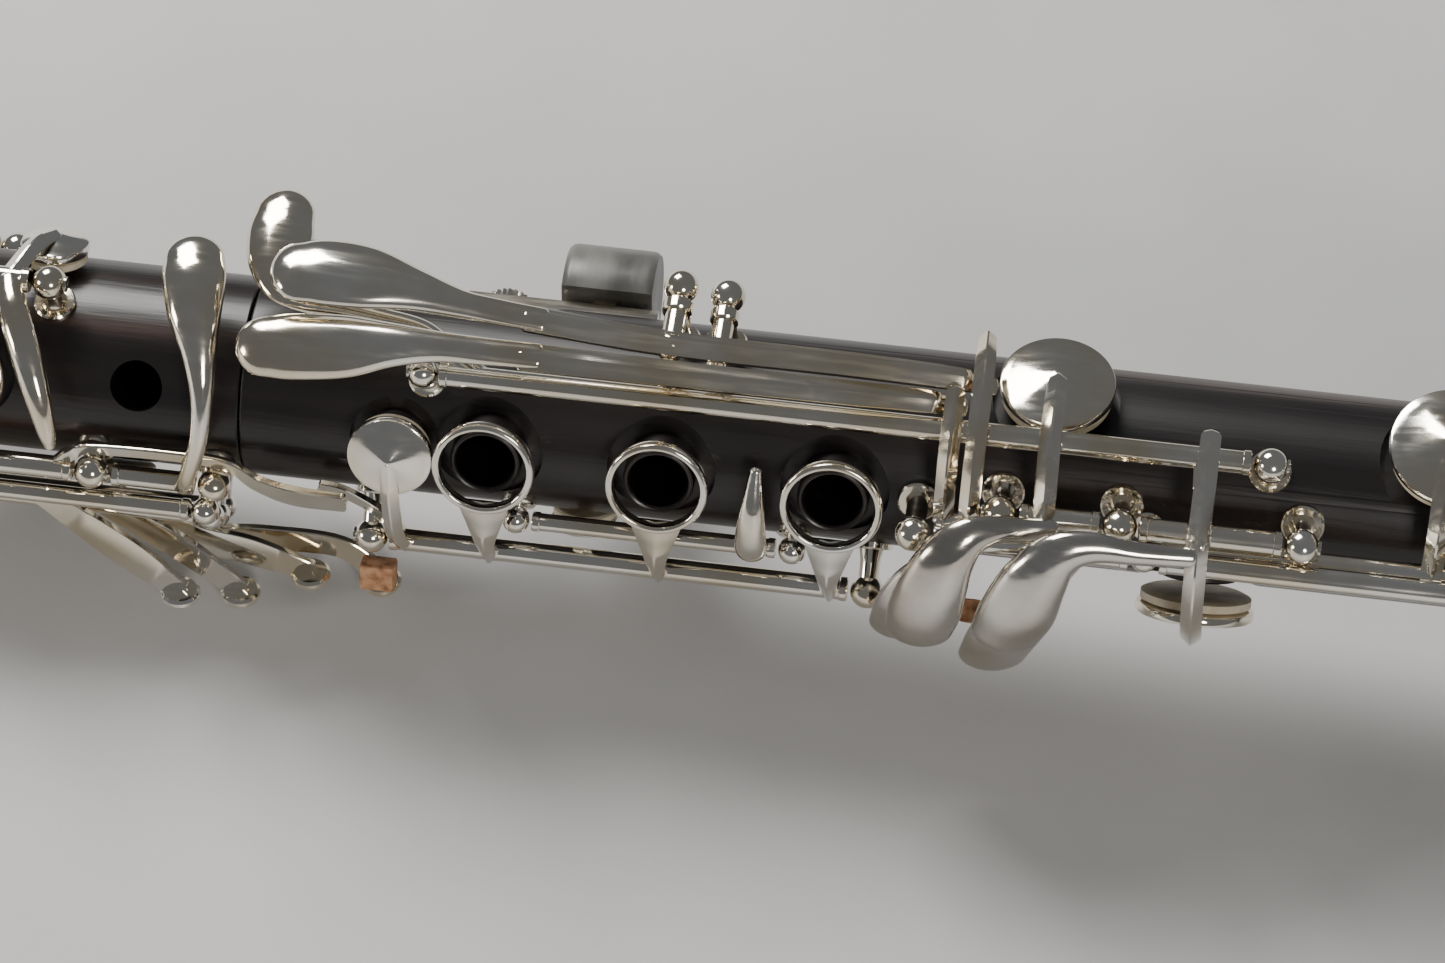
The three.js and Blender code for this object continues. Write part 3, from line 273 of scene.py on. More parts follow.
for joint_name, finish in (("upper_joint", red_grenadilla), ("lower_joint", grenadilla)):
    wood = make_piece(f"{joint_name}_wood", [turned(profiles[joint_name])], finish, "instrument",
                      [joint_name])
    bits = [plug(s, a, FINGER_SEAT_FLOOR, ABOVE_WOOD, FINGER_SEAT) for s, a in finger_holes[joint_name]]
    bits += [plug(s, a, PAD_SEAT_FLOOR, ABOVE_WOOD, seat)
             for s, a, seat, chimney, hole in pad_holes[joint_name]]
    mill(wood, bits)
    bits = [plug(s, a, 2, 11.5, FINGER_HOLE) for s, a in finger_holes[joint_name]]
    bits += [plug(s, a, 2, 12.5, hole) for s, a, seat, chimney, hole in pad_holes[joint_name]]
    if joint_name == "upper_joint":
        bits.append(plug(-14, UPPER_FRONT, 2, ABOVE_WOOD, 3.5))
    mill(wood, bits)
    chimneys = [
        standing(s, a, [(10.4, FINGER_HOLE), (10.4, 4.7), (15.7, 4.7), (16.05, 4.6), (16.2, 4.35),
                        (16.1, 4.1), (15.8, FINGER_HOLE), (10.4, FINGER_HOLE)], 64)
        for s, a in finger_holes[joint_name]
    ]
    chimneys += [
        standing(s, a, [(10.8, hole), (10.8, chimney), (12.7, chimney - 0.2), (13, chimney - 0.6),
                        (13, hole + 0.3), (12.7, hole), (10.8, hole)], 64)
        for s, a, seat, chimney, hole in pad_holes[joint_name]
    ]
    make_piece(f"{joint_name}_chimneys", chimneys, grenadilla, "instrument")

# ---- Barrel and bell ----------------------------------------------------------------------------------
# The barrel is a short swelling tube and the bell a flared horn, both turned from the same grenadilla.
# Metal rings are shrunk onto the ends that hold a tenon, and one onto the bell's rim.

barrel_swell = [(s, 16.2 + 0.9 * np.cos((s + 227.5) / 22.3 * np.pi / 2))
                for s in np.linspace(-249.8, -205.2, 15)]
make_piece("barrel_wood", [turned([
    (-259.7, 11.5), (-259.7, 15.2), (-255, 15.2), (-254.8, 16.1), *barrel_swell, (-200.2, 16.1), (-200, 15.2),
    (-195.3, 15.2), (-195.3, 11.5), (-212, 11.5), (-212, BORE), (-243, BORE), (-243, 11.5), (-259.7, 11.5),
])], grenadilla, "instrument", ["barrel"])


def flare(positions, throat, rim, power):
    """Radius of the bell: the throat's radius plus what remains to the rim, times how far along, to a
    power."""
    share = (positions - positions[0]) / (positions[-1] - positions[0])
    return throat + (rim - throat) * share ** power


outer_s = np.linspace(236, 328, 30)
inner_s = np.linspace(252, 332.7, 30)
outer = list(zip(outer_s, flare(outer_s, 16.5, 38, 3.1)))
inner = list(zip(inner_s, flare(inner_s, 11.6, 36.6, 2.3)))[::-1]
make_piece("bell_wood", [turned([
    (228, 12.2), (228, 15.6), (234, 15.6), (234.1, 16.5), *outer, (328.6, 37.6), (332.7, 37.6), *inner,
    (247, 11.4), (246.5, 12.2), (228, 12.2),
])], grenadilla, "instrument", ["bell"])


# ---- Metal rings --------------------------------------------------------------------------------------
# Rolled bands of silver-plated nickel silver. The plating is polished, then carries the hairline
# scratches and the faint yellow tarnish of handling.

def silver_finish(name, colour, low, high, tarnish):
    """Silver plate: colour drifts to tarnish in soft clouds, hairlines and clouds change its roughness."""
    material, tree, shader, coordinates = new_finish(name)
    clouds = noise_node(tree, coordinates, 70, (1, 1, 1), 5)
    tree.links.new(ramp_node(tree, clouds, [(0.38, colour), (0.68, tarnish)]), shader.inputs["Base Color"])
    shader.inputs["Metallic"].default_value = 1
    scratches = noise_node(tree, coordinates, 900, (0.12, 1, 1), 8, 0.4)
    tree.links.new(ramp_node(tree, scratches, [(0.35, low), (0.7, high)]), shader.inputs["Roughness"])
    fine = noise_node(tree, coordinates, 2600, (0.05, 1, 0.5), 2, -0.5)
    add_bump(tree, shader, fine, 0.10, 0.00004)
    dents = noise_node(tree, coordinates, 190, (1, 1, 1), 2)
    add_bump(tree, shader, dents, 0.10, 0.0003)
    return material


silver = silver_finish("polished_silver_plate", (0.93, 0.90, 0.83), 0.07, 0.17, (0.83, 0.73, 0.55))
worn_silver = silver_finish("handled_silver_plate", (0.76, 0.73, 0.68), 0.10, 0.24, (0.56, 0.51, 0.43))


def band(start, end, inner_radius, outer_radius):
    """A ring with its two outer edges rolled over."""
    edge = 0.45
    return turned([
        (start, inner_radius), (start, outer_radius - edge), (start + edge * 0.3, outer_radius - edge * 0.3),
        (start + edge, outer_radius), (end - edge, outer_radius),
        (end - edge * 0.3, outer_radius - edge * 0.3),
        (end, outer_radius - edge), (end, inner_radius), (start, inner_radius),
    ])


make_piece("barrel_rings", [band(-259.4, -255.2, 15.4, 16.5), band(-199.8, -195.6, 15.4, 16.5)], silver,
           "instrument", ["barrel_ring_upper", "barrel_ring_lower"])
make_piece("bell_socket_band", [band(228.3, 233.7, 15.8, 17.2)], silver, "instrument", ["bell_socket_ring"])
make_piece("bell_rim_band", [turned([
    (333, 37.9), (333, 39.2), (332.6, 39.65), (332, 39.84), (330, 39.84), (329.3, 39.6), (328.9, 39),
    (328.9, 37.9),
    (333, 37.9),
])], silver, "instrument", ["bell_rim_ring"])

# ---- Tenon corks --------------------------------------------------------------------------------------
# Sheets of cork glued round each tenon, with a seam and a greasy sheen.

def cork_finish():
    """Orange-brown cork: cells as small dark pits and lighter grains."""
    material, tree, shader, coordinates = new_finish("glued_cork")
    grain = noise_node(tree, coordinates, 700, (1, 1, 1), 6)
    tree.links.new(ramp_node(tree, grain, [(0.3, (0.20, 0.09, 0.045)), (0.5, (0.52, 0.27, 0.14)),
                                           (0.75, (0.70, 0.42, 0.25))]), shader.inputs["Base Color"])
    tree.links.new(ramp_node(tree, grain, [(0.3, 0.95), (0.7, 0.75)]), shader.inputs["Roughness"])
    add_bump(tree, shader, grain, 0.6, 0.0004)
    return material


cork = cork_finish()
for node, (start, end, inner_radius, outer_radius) in {
    "mouthpiece_tenon_cork": (-258, -246, 10.5, 11.2), "upper_tenon_cork": (-208, -197, 10.5, 11.2),
    "middle_tenon_cork": (2, 9.5, 10.6, 11.2), "lower_tenon_cork": (231, 242, 11.2, 11.9),
}.items():
    sheet = band(start, end, inner_radius, outer_radius)
    make_piece(f"{node}_sheet", [sheet], cork, "instrument", [node])

# ---- Mouthpiece, reed and ligature --------------------------------------------------------------------
# The mouthpiece is polished hard rubber, turned and then planed to a beak; the cane reed is held on its
# table by a silver-plated ligature with two screws.

TABLE = 10.4


def ebonite_finish():
    """Black hard rubber, polished, with fine wear."""
    material, tree, shader, coordinates = new_finish("polished_ebonite")
    wear = noise_node(tree, coordinates, 240, (1, 1, 1), 6)
    tree.links.new(ramp_node(tree, wear, [(0.3, (0.006, 0.006, 0.0065)), (0.7, (0.014, 0.013, 0.012))]),
                   shader.inputs["Base Color"])
    tree.links.new(ramp_node(tree, wear, [(0.3, 0.12), (0.7, 0.3)]), shader.inputs["Roughness"])
    add_bump(tree, shader, noise_node(tree, coordinates, 1800, (0.1, 1, 1), 3), 0.1, 0.00005)
    return material


def box_bit(start, end, low, high, half_width, slope=0.0):
    """A block as two square rings. low and high are distances behind the bore; slope lifts them along it."""
    rings = []
    for s in (start, end):
        shift = slope * (s - start)
        rings.append([(s, -half_width, -low + shift), (s, half_width, -low + shift),
                      (s, half_width, -high + shift), (s, -half_width, -high + shift)])
    return np.array(rings, float), False


ebonite = ebonite_finish()
beak_slope = 2 * TABLE / 56
mouthpiece = make_piece("mouthpiece_ebonite", [turned([
    (-333.9, 0), (-333.9, 11.8), (-316, 12.9), (-298, 13.6), (-268, 13.9), (-260.2, 14.2), (-260, 14),
    (-260, 10.2),
    (-244, 10.2), (-244, 0),
], 96)], ebonite, "instrument", ["mouthpiece"])
mill(mouthpiece, [box_bit(-340, -240, -60, TABLE - 1.6 + beak_slope * 6, 30, beak_slope)])
mill(mouthpiece, [box_bit(-345, -266, TABLE, 40, 30)])
mill(mouthpiece, [box_bit(-330.5, -300, TABLE - 1.6 - beak_slope * 3.5 + 1.8, 60, 5.4, beak_slope),
                  turned([(-304, 0), (-304, 5.4), (-290, BORE), (-230, BORE), (-230, 0)], 48)])


def cane_finish():
    """Pale cane with straight fibres along the reed."""
    material, tree, shader, coordinates = new_finish("cut_cane")
    fibre = noise_node(tree, coordinates, 900, (0.02, 1, 1), 4)
    tree.links.new(ramp_node(tree, fibre, [(0.3, (0.60, 0.44, 0.2)), (0.7, (0.85, 0.72, 0.46))]),
                   shader.inputs["Base Color"])
    tree.links.new(ramp_node(tree, fibre, [(0.3, 0.6), (0.7, 0.45)]), shader.inputs["Roughness"])
    add_bump(tree, shader, fibre, 0.3, 0.0001)
    return material


def reed_rings(start, bark, end):
    """A reed: flat against the table, its back a low arch that thins to the tip from the bark on."""
    s = np.linspace(start, end, 40)
    share = np.clip((s - start) / (bark - start), 0, 1)
    thick = 0.35 + 2.4 * share ** 1.6
    half = 6.5 - 0.7 * (s - start) / (end - start)
    across = np.cos(np.linspace(0, np.pi, 24))
    arch = np.sqrt(np.clip(1 - across ** 2 * 0.92, 0, 1))
    depth = -(TABLE + 0.3 + thick[:, None] * arch)
    back = np.stack([np.repeat(s[:, None], 24, 1), half[:, None] * across, depth], -1)
    table = np.stack([s, -half, np.full_like(s, -(TABLE + 0.3))], -1)[:, None]
    other = np.stack([s, half, np.full_like(s, -(TABLE + 0.3))], -1)[:, None]
    return np.concatenate([back, table, other], 1), False


make_piece("reed_cane", [reed_rings(-333.4, -300, -268)], cane_finish(), "instrument", ["reed"])

ligature = turned([(-296, 14.5), (-296, 15.1), (-295.6, 15.3), (-294, 15.3), (-293.6, 15.1), (-274.4, 15.1),
                   (-274, 15.3), (-272.4, 15.3), (-272, 15.1), (-272, 14.5), (-296, 14.5)], 96)
ligature[0][..., 2] -= 0.55


def rod(start, end, radius, segments=32, edge=0.2):
    """A round bar between two points in bore millimetres, with its ends chamfered by edge."""
    start, end = np.asarray(start, float), np.asarray(end, float)
    length = np.linalg.norm(end - start)
    way = (end - start) / length
    helper = np.array([0, 0, 1.0]) if abs(way[2]) < 0.8 else np.array([0, 1.0, 0])
    side = np.cross(way, helper)
    side /= np.linalg.norm(side)
    other = np.cross(way, side)
    turn = np.linspace(0, 2 * np.pi, segments, endpoint=False)[:, None]
    around = np.cos(turn) * side + np.sin(turn) * other
    places = np.array([0, 0, edge, length - edge, length, length])[:, None, None]
    sizes = np.array([0, radius - edge, radius, radius, radius - edge, 0])[:, None, None]
    return start + places * way + sizes * around[None], False


screws = []
for s in (-290, -278):
    screws += [rod((s, -8.9, -17.6), (s, -4, -17.6), 1.3), rod((s, -4, -17.6), (s, 8.9, -17.6), 0.9),
               rod((s, 3, -17.6), (s, 5.5, -17.6), 1.3)]
make_piece("ligature_band", [ligature], silver, "instrument", ["ligature"])
make_piece("ligature_screws", screws, silver, "instrument", ["ligature_screw_upper", "ligature_screw_lower"])

# ---- Posts and pivot screws ---------------------------------------------------------------------------
# Every hinge tube is held between two posts: a turned foot screwed into the wood, a slim neck and a ball.
# A steel pivot screw with a slot enters each ball.

BALL = 2.3


def post(s, angle, height, ball=BALL):
    """A post's profile: a flat foot, a neck that flares at both ends, then a ball drawn as an arc."""
    neck = min(1.35, ball * 0.6)
    foot = min(2.8, ball + 0.5)
    neck_top = height - np.sqrt(ball ** 2 - neck ** 2)
    rise = np.linspace(0, 1, 9)
    stem = [(BODY + 0.75 + t * (neck_top - BODY - 0.75), neck + (foot * 0.62 - neck) * (1 - t) ** 3)
            for t in rise]
    swing = np.linspace(np.arcsin(neck / ball), np.pi, 14)
    sphere = [(height - ball * np.cos(t), ball * np.sin(t)) for t in swing[1:]]
    sphere[-1] = (height + ball, 0)
    base = [(BODY - 1, 0), (BODY - 1, foot), (BODY + 0.45, foot), (BODY + 0.7, foot - 0.25)]
    return standing(s, angle, [*base, *stem, *sphere], 32)


hinges = {  # name: angle, radius, start of the tube, end of the tube
    "upper_ring": (-33, 17, -84, -22.5), "e_flat_sliver": (60, 18.5, -46, -28.9),
    "throat_g_sharp": (62, 17, -118, -88), "thumb_ring": (158, 17, -70, -40),
    "lower_ring": (-62, 19.8, 19.9, 81.9),
}
SIDE_TUBE_OUT = 19.6
SIDE_BALL = 1.85
side_lines = [(-44, -168), (-56, -152), (-68, -118), (-80, -104)]
posts, screw_heads, screw_slots = [], [], []


def pivot_screw(s, angle, radius, way, ball=BALL):
    """A screw's head on the face of a ball, way along the bore, and a square bar that cuts its slot."""
    face = polar(s + way * (ball + 0.1), angle, radius)
    across = polar(0, angle + 60, 1.0) * ball
    screw_heads.append(rod(polar(s + way * ball * 0.6, angle, radius), face, ball * 0.45, edge=0.08))
    screw_slots.append(rod(face - across, face + across, 0.2, 4, 0.02))


for angle, radius, start, end in hinges.values():
    posts += [post(start - BALL - 0.3, angle, radius), post(end + BALL + 0.3, angle, radius)]
    pivot_screw(start - BALL - 0.3, angle, radius, -1)
    pivot_screw(end + BALL + 0.3, angle, radius, 1)
for angle, start in side_lines:
    posts += [post(start, angle, SIDE_TUBE_OUT, SIDE_BALL), post(-4.4, angle, SIDE_TUBE_OUT, SIDE_BALL)]
    pivot_screw(start, angle, SIDE_TUBE_OUT, -1, SIDE_BALL)
for s, angle, radius, way, ball in [
    (101.5, 11, 21.5, -1, BALL), (140.5, 11, 21.5, 1, BALL), (199.6, 0, 21.8, 1, BALL),
    (163.2, 0, 18.2, 1, 1.75), (135.5, 39, 18.5, 1, BALL), (24.7, 39, 18.5, -1, 2),
]:
    pivot_screw(s, angle, radius, way, ball)
posts += [post(-3.3, -35, 16.8, 2.2), post(37.2, -44, 15.9, 1.9), post(74.3, -44, 15.9, 1.9)]
posts += [post(s, 11, 21.5) for s in (101.5, 117, 140.5)]
posts += [post(90.6, 0, 21.8), post(120.6, 0, 21.8, 1.7), post(163.2, 0, 18.2, 1.75), post(199.6, 0, 21.8)]
posts += [post(24.7, 39, 18.5, 2), post(135.5, 39, 18.5)]
lever_pivots = {"left_lever_e_b": (56.6, 64, 19.8), "left_lever_f_c": (62.8, 64, 18.8)}
cross_pivots = {"throat_a": (-128, 30, 18.4), "register": (-112, 196, 18.2)}


def beside(pivot, offset):
    """A point on a hinge line that lies across the bore, offset mm to the left of its middle."""
    s, angle, radius = pivot
    return polar(s, angle, radius) + polar(0, angle + 90, 1.0) * offset


def cross_post(pivot, offset, ball=BALL):
    """A post whose ball meets a crosswise hinge line at that offset."""
    s, right, front = beside(pivot, offset)
    return post(s, np.degrees(np.arctan2(-right, front)), np.hypot(right, front), ball)


posts += [cross_post(pivot, 8) for pivot in lever_pivots.values()]
posts.append(cross_post(lever_pivots["left_lever_e_b"], -4.7, 1.15))
posts += [cross_post(pivot, offset) for pivot in cross_pivots.values() for offset in (6, -6)]
make_piece("posts_upper", [shell for shell in posts if shell[0][..., 0].mean() < 0], silver, "instrument")
make_piece("posts_lower", [shell for shell in posts if shell[0][..., 0].mean() >= 0], silver, "instrument")
mill(make_piece("pivot_screws", screw_heads, worn_silver, "instrument"), screw_slots)

# ---- Finger rings and their hinge tubes ---------------------------------------------------------------
# A ring key is one assembly: rings cast with a short ridged arm, and a pad cup on a flat arm, all
# hard-soldered to a drawn tube that turns between two posts.

def smooth(knots, steps=8):
    """Catmull-Rom curve: each stretch is a cubic through its two knots, with the slope that the knots on
    either side give."""
    knots = np.asarray(knots, float)
    ends = np.vstack([2 * knots[0] - knots[1], knots, 2 * knots[-1] - knots[-2]])
    a, b, c, d = (ends[i:len(knots) - 1 + i][:, None, :] for i in range(4))
    t = np.linspace(0, 1, steps, endpoint=False)[None, :, None]
    curve = 0.5 * (2 * b + (c - a) * t + (2 * a - 5 * b + 4 * c - d) * t ** 2
                   + (3 * b - a - 3 * c + d) * t ** 3)
    return np.vstack([curve.reshape(-1, knots.shape[1]), knots[-1:]])


def domed(count=17):
    """The section of a forged touch: over it a dome, the root of one minus x squared, and under it a
    flatter belly."""
    across = np.cos(np.linspace(np.pi, 0, count))
    top = np.stack([across, 1.35 * np.sqrt(1 - across ** 2) ** 1.1 - 0.1], -1)
    belly = np.stack([across, -0.7 * (1 - across ** 4) ** 0.5 - 0.1], -1)[-2:0:-1]
    return np.vstack([top, belly])


ROOF = np.array([(-1, -1), (1, -1), (1.02, -0.9), (1.02, -0.25), (0.95, -0.15), (0.1, 0.95), (-0.1, 0.95),
                 (-0.95, -0.15), (-1.02, -0.25), (-1.02, -0.9)])
CAP_STEPS = 8
FLAT = np.array([(-0.92, -1), (0.92, -1), (1, -0.75), (1, 0.75), (0.92, 1), (-0.92, 1), (-1, 0.75),
                 (-1, -0.75)])


def arm(knots, section=ROOF, out=None, steps=8, ends=1.0, tips=None):
    """A bar along a curve. Knots are (s, right, front, half width, half thickness); the section's x runs
    across the curve and its y away from the bore, or along out. Its ends shrink to a point over a quarter
    turn, ends times the half thickness long, or as long as the two tips say."""
    line = smooth(knots, steps)
    path, half = line[:, :3], line[:, 3:5]
    way = np.gradient(path, axis=0)
    way /= np.linalg.norm(way, axis=1, keepdims=True)
    turn = np.linspace(np.pi / 2, 0, CAP_STEPS + 1)[:-1, None]
    reach = ends * half[[0, -1]].min(axis=1) if tips is None else tips
    head = path[0] - way[0] * reach[0] * np.sin(turn)
    tail = path[-1] + way[-1] * reach[1] * np.sin(turn[::-1])
    shrink = np.cos(turn) + 1e-6
    path = np.vstack([head, path, tail])
    half = np.vstack([half[0] * shrink, half, half[-1] * shrink[::-1]])
    way = np.vstack([np.repeat(way[:1], CAP_STEPS, 0), way, np.repeat(way[-1:], CAP_STEPS, 0)])
    up = path * (0, 1, 1) if out is None else np.broadcast_to(np.asarray(out, float), path.shape).copy()
    up = up - way * np.sum(up * way, axis=1, keepdims=True)
    up /= np.linalg.norm(up, axis=1, keepdims=True)
    side = np.cross(way, up)
    rings = (path[:, None] + side[:, None] * half[:, :1, None] * section[None, :, :1]
             + up[:, None] * half[:, 1:, None] * section[None, :, 1:])
    return rings, False


def polar_arm(knots, section=ROOF, **options):
    """An arm whose knots are (s, angle, radius, half width, half thickness)."""
    knots = np.asarray(knots, float)
    points = polar(knots[:, 0], knots[:, 1], knots[:, 2])
    return arm(np.hstack([points, knots[:, 3:]]), section, **options)


def tube(start, end, angle, radius, size=1.55):
    """A hinge tube along the bore with a thin collar at each end."""
    collars = [rod(polar(s, angle, radius), polar(s + 1.1, angle, radius), size + 0.14, edge=0.12)
               for s in (start, end - 1.1)]
    return [rod(polar(start, angle, radius), polar(end, angle, radius), size), *collars]


RING_MIDDLE = 6.2
RING_HEIGHT = 17.4


def finger_ring(s, angle):
    """A ring whose section is a rounded band: the inner face is upright, the outer one bulges."""
    turn = np.linspace(0, 2 * np.pi, 25)
    width = np.where(np.cos(turn) > 0, 0.62, 0.5)
    profile = np.stack([RING_HEIGHT + 0.92 * np.sign(np.sin(turn)) * np.abs(np.sin(turn)) ** 0.8,
                        RING_MIDDLE + width * np.sign(np.cos(turn)) * np.abs(np.cos(turn)) ** 0.7], -1)
    profile[-1] = profile[0]
    return standing(s, angle, profile, 72)


def cup(s, angle, low, radius, point=1.6):
    """A pad cup: an upright rim with a soft edge, then a hollowed cone that rises to a point."""
    share = np.linspace(0, 1, 9)[1:]
    cone = [(low + 1.45 + point * t ** 1.25, (radius - 0.35) * (1 - t)) for t in share]
    rim = [(low, 0), (low, radius - 0.35), (low + 0.1, radius - 0.1), (low + 0.35, radius),
           (low + 1.1, radius), (low + 1.35, radius - 0.12), (low + 1.45, radius - 0.35)]
    return standing(s, angle, [*rim, *cone], 72)


def pad_disc(s, angle, low, high, radius):
    """A skin pad: a disc whose edge bulges and whose face is a little domed."""
    return standing(s, angle, [(low, 0), (low, radius * 0.6), (low + 0.12, radius * 0.92),
                               (low + 0.4, radius), (high - 0.1, radius), (high, radius - 0.2),
                               (high, 0)], 64)


def pad_finish():
    """Cream skin over felt: faint creases and a soft sheen."""
    material, tree, shader, coordinates = new_finish("cream_skin_pad")
    skin_tone = noise_node(tree, coordinates, 300, (1, 1, 1), 5)
    tree.links.new(ramp_node(tree, skin_tone, [(0.3, (0.62, 0.52, 0.36)), (0.7, (0.84, 0.77, 0.62))]),
                   shader.inputs["Base Color"])
    tree.links.new(ramp_node(tree, skin_tone, [(0.3, 0.7), (0.7, 0.5)]), shader.inputs["Roughness"])
    add_bump(tree, shader, skin_tone, 0.3, 0.0003)
    return material


pad_skin = pad_finish()


def key_pad(body, node, s, angle, low, high, radius):
    """The pad in a key's cup."""
    make_piece(f"{node}_skin", [pad_disc(s, angle, low, high, radius)], pad_skin, body, [node])


def key(name, body, nodes, shells, finish=None):
    """A key's metal as one piece."""
    return make_piece(name, shells, finish or silver, body, nodes)


def ring_web(s, inner, outer, bend):
    """The arm of a ring: a broad web at the ring that narrows to a ridged stem at its tube. Each end is
    (angle, radius)."""
    return polar_arm([
        (s, inner[0], inner[1], 3.4, 0.8),
        (s, inner[0] + (bend[0] - inner[0]) * 0.45, inner[1] + 0.7, 2.4, 0.85),
        (s, bend[0], bend[1], 1.3, 0.95), (s, outer[0], outer[1], 1.25, 0.95),
    ])


lower_rings = [finger_ring(s, 0) for s in (33.5, 56.5, 79.5)]
lower_webs = [ring_web(s, (-20.5, 17.9), (-62, 20.9), (-44, 20.1)) for s in (33.5, 56.5, 79.5)]
lower_lugs = [polar_arm([(s, -60, 20.6, 1.3, 1), (s, -70, 20.6, 0.9, 0.8), (s, -76, 20.2, 0.5, 0.5)])
              for s in (33.5, 56.5, 79.5)]
key("lower_ring_key_metal", "lower_ring_key", ["lower_ring_key"], [
    *lower_rings, *lower_webs, *lower_lugs, *tube(19.9, 81.9, -62, 19.8), cup(21, 0, 16.2, 5.7, 1.7),
    polar_arm([(21, -1, 18.9, 1.0, 0.45), (21.3, -20, 19.2, 1.2, 0.6), (21.6, -42, 20.3, 1.3, 0.7),
               (21.9, -64, 20.7, 1.5, 0.9)]),
    polar_arm([(21, -58, 18.6, 1.2, 0.6), (18.6, -47, 16.6, 1.2, 0.5), (14, -36, 15.5, 1.4, 0.4),
               (11, -33, 15.4, 1.4, 0.4)], FLAT),
])
key_pad("lower_ring_key", "lower_ring_pad", 21, 0, 14.6, 15.9, 5.2)

upper_webs = [ring_web(s, (-5, 17.9), (-33, 18.1), (-20, 18.3)) for s in (-62, -37.5)]
key("upper_ring_key_metal", "upper_ring_key", ["upper_ring_key"], [
    *[finger_ring(s, UPPER_FRONT) for s in (-62, -37.5)], *upper_webs, *tube(-84, -22.5, -33, 17),
    cup(-50, UPPER_FRONT, 16.2, 5, 1.2),
    polar_arm([(-50, UPPER_FRONT, 18.6, 1, 0.5), (-50, -10, 18.7, 1.2, 0.6), (-50, -33, 18.1, 1.3, 0.8)]),
    polar_arm([(-24.5, -31, 16.6, 1, 0.6), (-22.5, -25, 15.8, 0.9, 0.6), (-19, -21.5, 15.3, 0.85, 0.5),
               (-3, -21.5, 15.3, 0.85, 0.5), (3, -27, 17, 1.4, 0.5), (8, -31, 17.6, 2.1, 0.5),
               (14.5, -32, 17.6, 2, 0.5)], FLAT),
])
key_pad("upper_ring_key", "upper_ring_pad", -50, UPPER_FRONT, 14.6, 15.9, 4.6)

key("thumb_ring_key_metal", "thumb_ring_key", ["thumb_ring_key"], [
    finger_ring(-56, 196), *tube(-70, -40, 158, 17), cup(-40.5, 190, 16.2, 4.2, 1.2),
    polar_arm([(-56, 176.5, 17.8, 3, 0.8), (-56, 168, 18.3, 1.6, 0.9), (-56, 158, 18.1, 1.3, 0.9)]),
    polar_arm([(-43.5, 158, 18.1, 1.3, 0.7), (-41.5, 174, 18.6, 1.3, 0.6), (-40.5, 190, 18.6, 1, 0.5)]),
])
key_pad("thumb_ring_key", "thumb_ring_pad", -40.5, 190, 14.6, 15.9, 3.9)

# ---- Left-hand keys on the upper joint ----------------------------------------------------------------
# Long and short keys for the left hand: forged touches, soldered to tubes that turn between two posts, or
# levers that rock on a crosswise screw. Each ends in a small pad cup.

def rounded_rod_between(pivot, half_length, size=1.55):
    """A hinge tube across the bore, as far as half_length either side of its pivot."""
    return rod(beside(pivot, -half_length), beside(pivot, half_length), size)


DOMED = domed()
key("throat_a_key_metal", "throat_a_key", ["throat_a_key"], [
    rounded_rod_between(cross_pivots["throat_a"], 3.4), cup(-178, 30, 15.5, 4.4, 1.3),
    polar_arm([(-87, 24, 19.8, 3.1, 1.1), (-91, 25, 20, 3.3, 1.2), (-95, 27, 20.1, 2.4, 1.1),
               (-100, 28.5, 20.1, 1.6, 0.9), (-128, 30, 19.8, 1.5, 0.9)], DOMED, tips=(2.9, 0.9)),
    polar_arm([(-124, 30, 19.9, 1.5, 0.9), (-160, 30, 19.3, 1.4, 0.85), (-172, 30, 18.5, 1.3, 0.8),
               (-178, 30, 18.1, 1, 0.6)]),
])
key_pad("throat_a_key", "throat_a_pad", -178, 30, 13.9, 15.2, 4.1)

key("register_key_metal", "register_key", ["register_key"], [
    rounded_rod_between(cross_pivots["register"], 3.4), cup(-160, 196, 15.5, 4, 1.3),
    polar_arm([(-69, 196, 18.8, 3.1, 1.1), (-74, 196, 19.4, 3.1, 1.2), (-80, 196, 19.8, 1.8, 1),
               (-86, 196, 19.9, 1.5, 0.9), (-112, 196, 19.8, 1.5, 0.9)], DOMED, tips=(2.9, 0.9)),
    polar_arm([(-108, 196, 19.9, 1.5, 0.9), (-145, 196, 19.3, 1.4, 0.85), (-155, 196, 18.4, 1.2, 0.8),
               (-160, 196, 18.1, 1, 0.6)]),
])
key_pad("register_key", "register_pad", -160, 196, 13.9, 15.2, 3.7)

key("throat_g_sharp_key_metal", "throat_g_sharp_key", ["throat_g_sharp_key"], [
    *tube(-118, -88, 62, 17), cup(-111, 86, 15.5, 4.4, 1.3),
    polar_arm([(-92, 61, 18.2, 1.5, 0.8), (-91.5, 55, 19.3, 2.4, 1), (-91, 48, 19.9, 3.3, 1.2),
               (-91, 44.5, 19.9, 3.1, 1.1)], DOMED, tips=(0.8, 2.4)),
    polar_arm([(-111, 62, 18.3, 1.3, 0.8), (-111, 74, 18.8, 1.3, 0.7), (-111, 86, 18, 1, 0.5)]),
])
key_pad("throat_g_sharp_key", "throat_g_sharp_pad", -111, 86, 13.9, 15.2, 4.1)

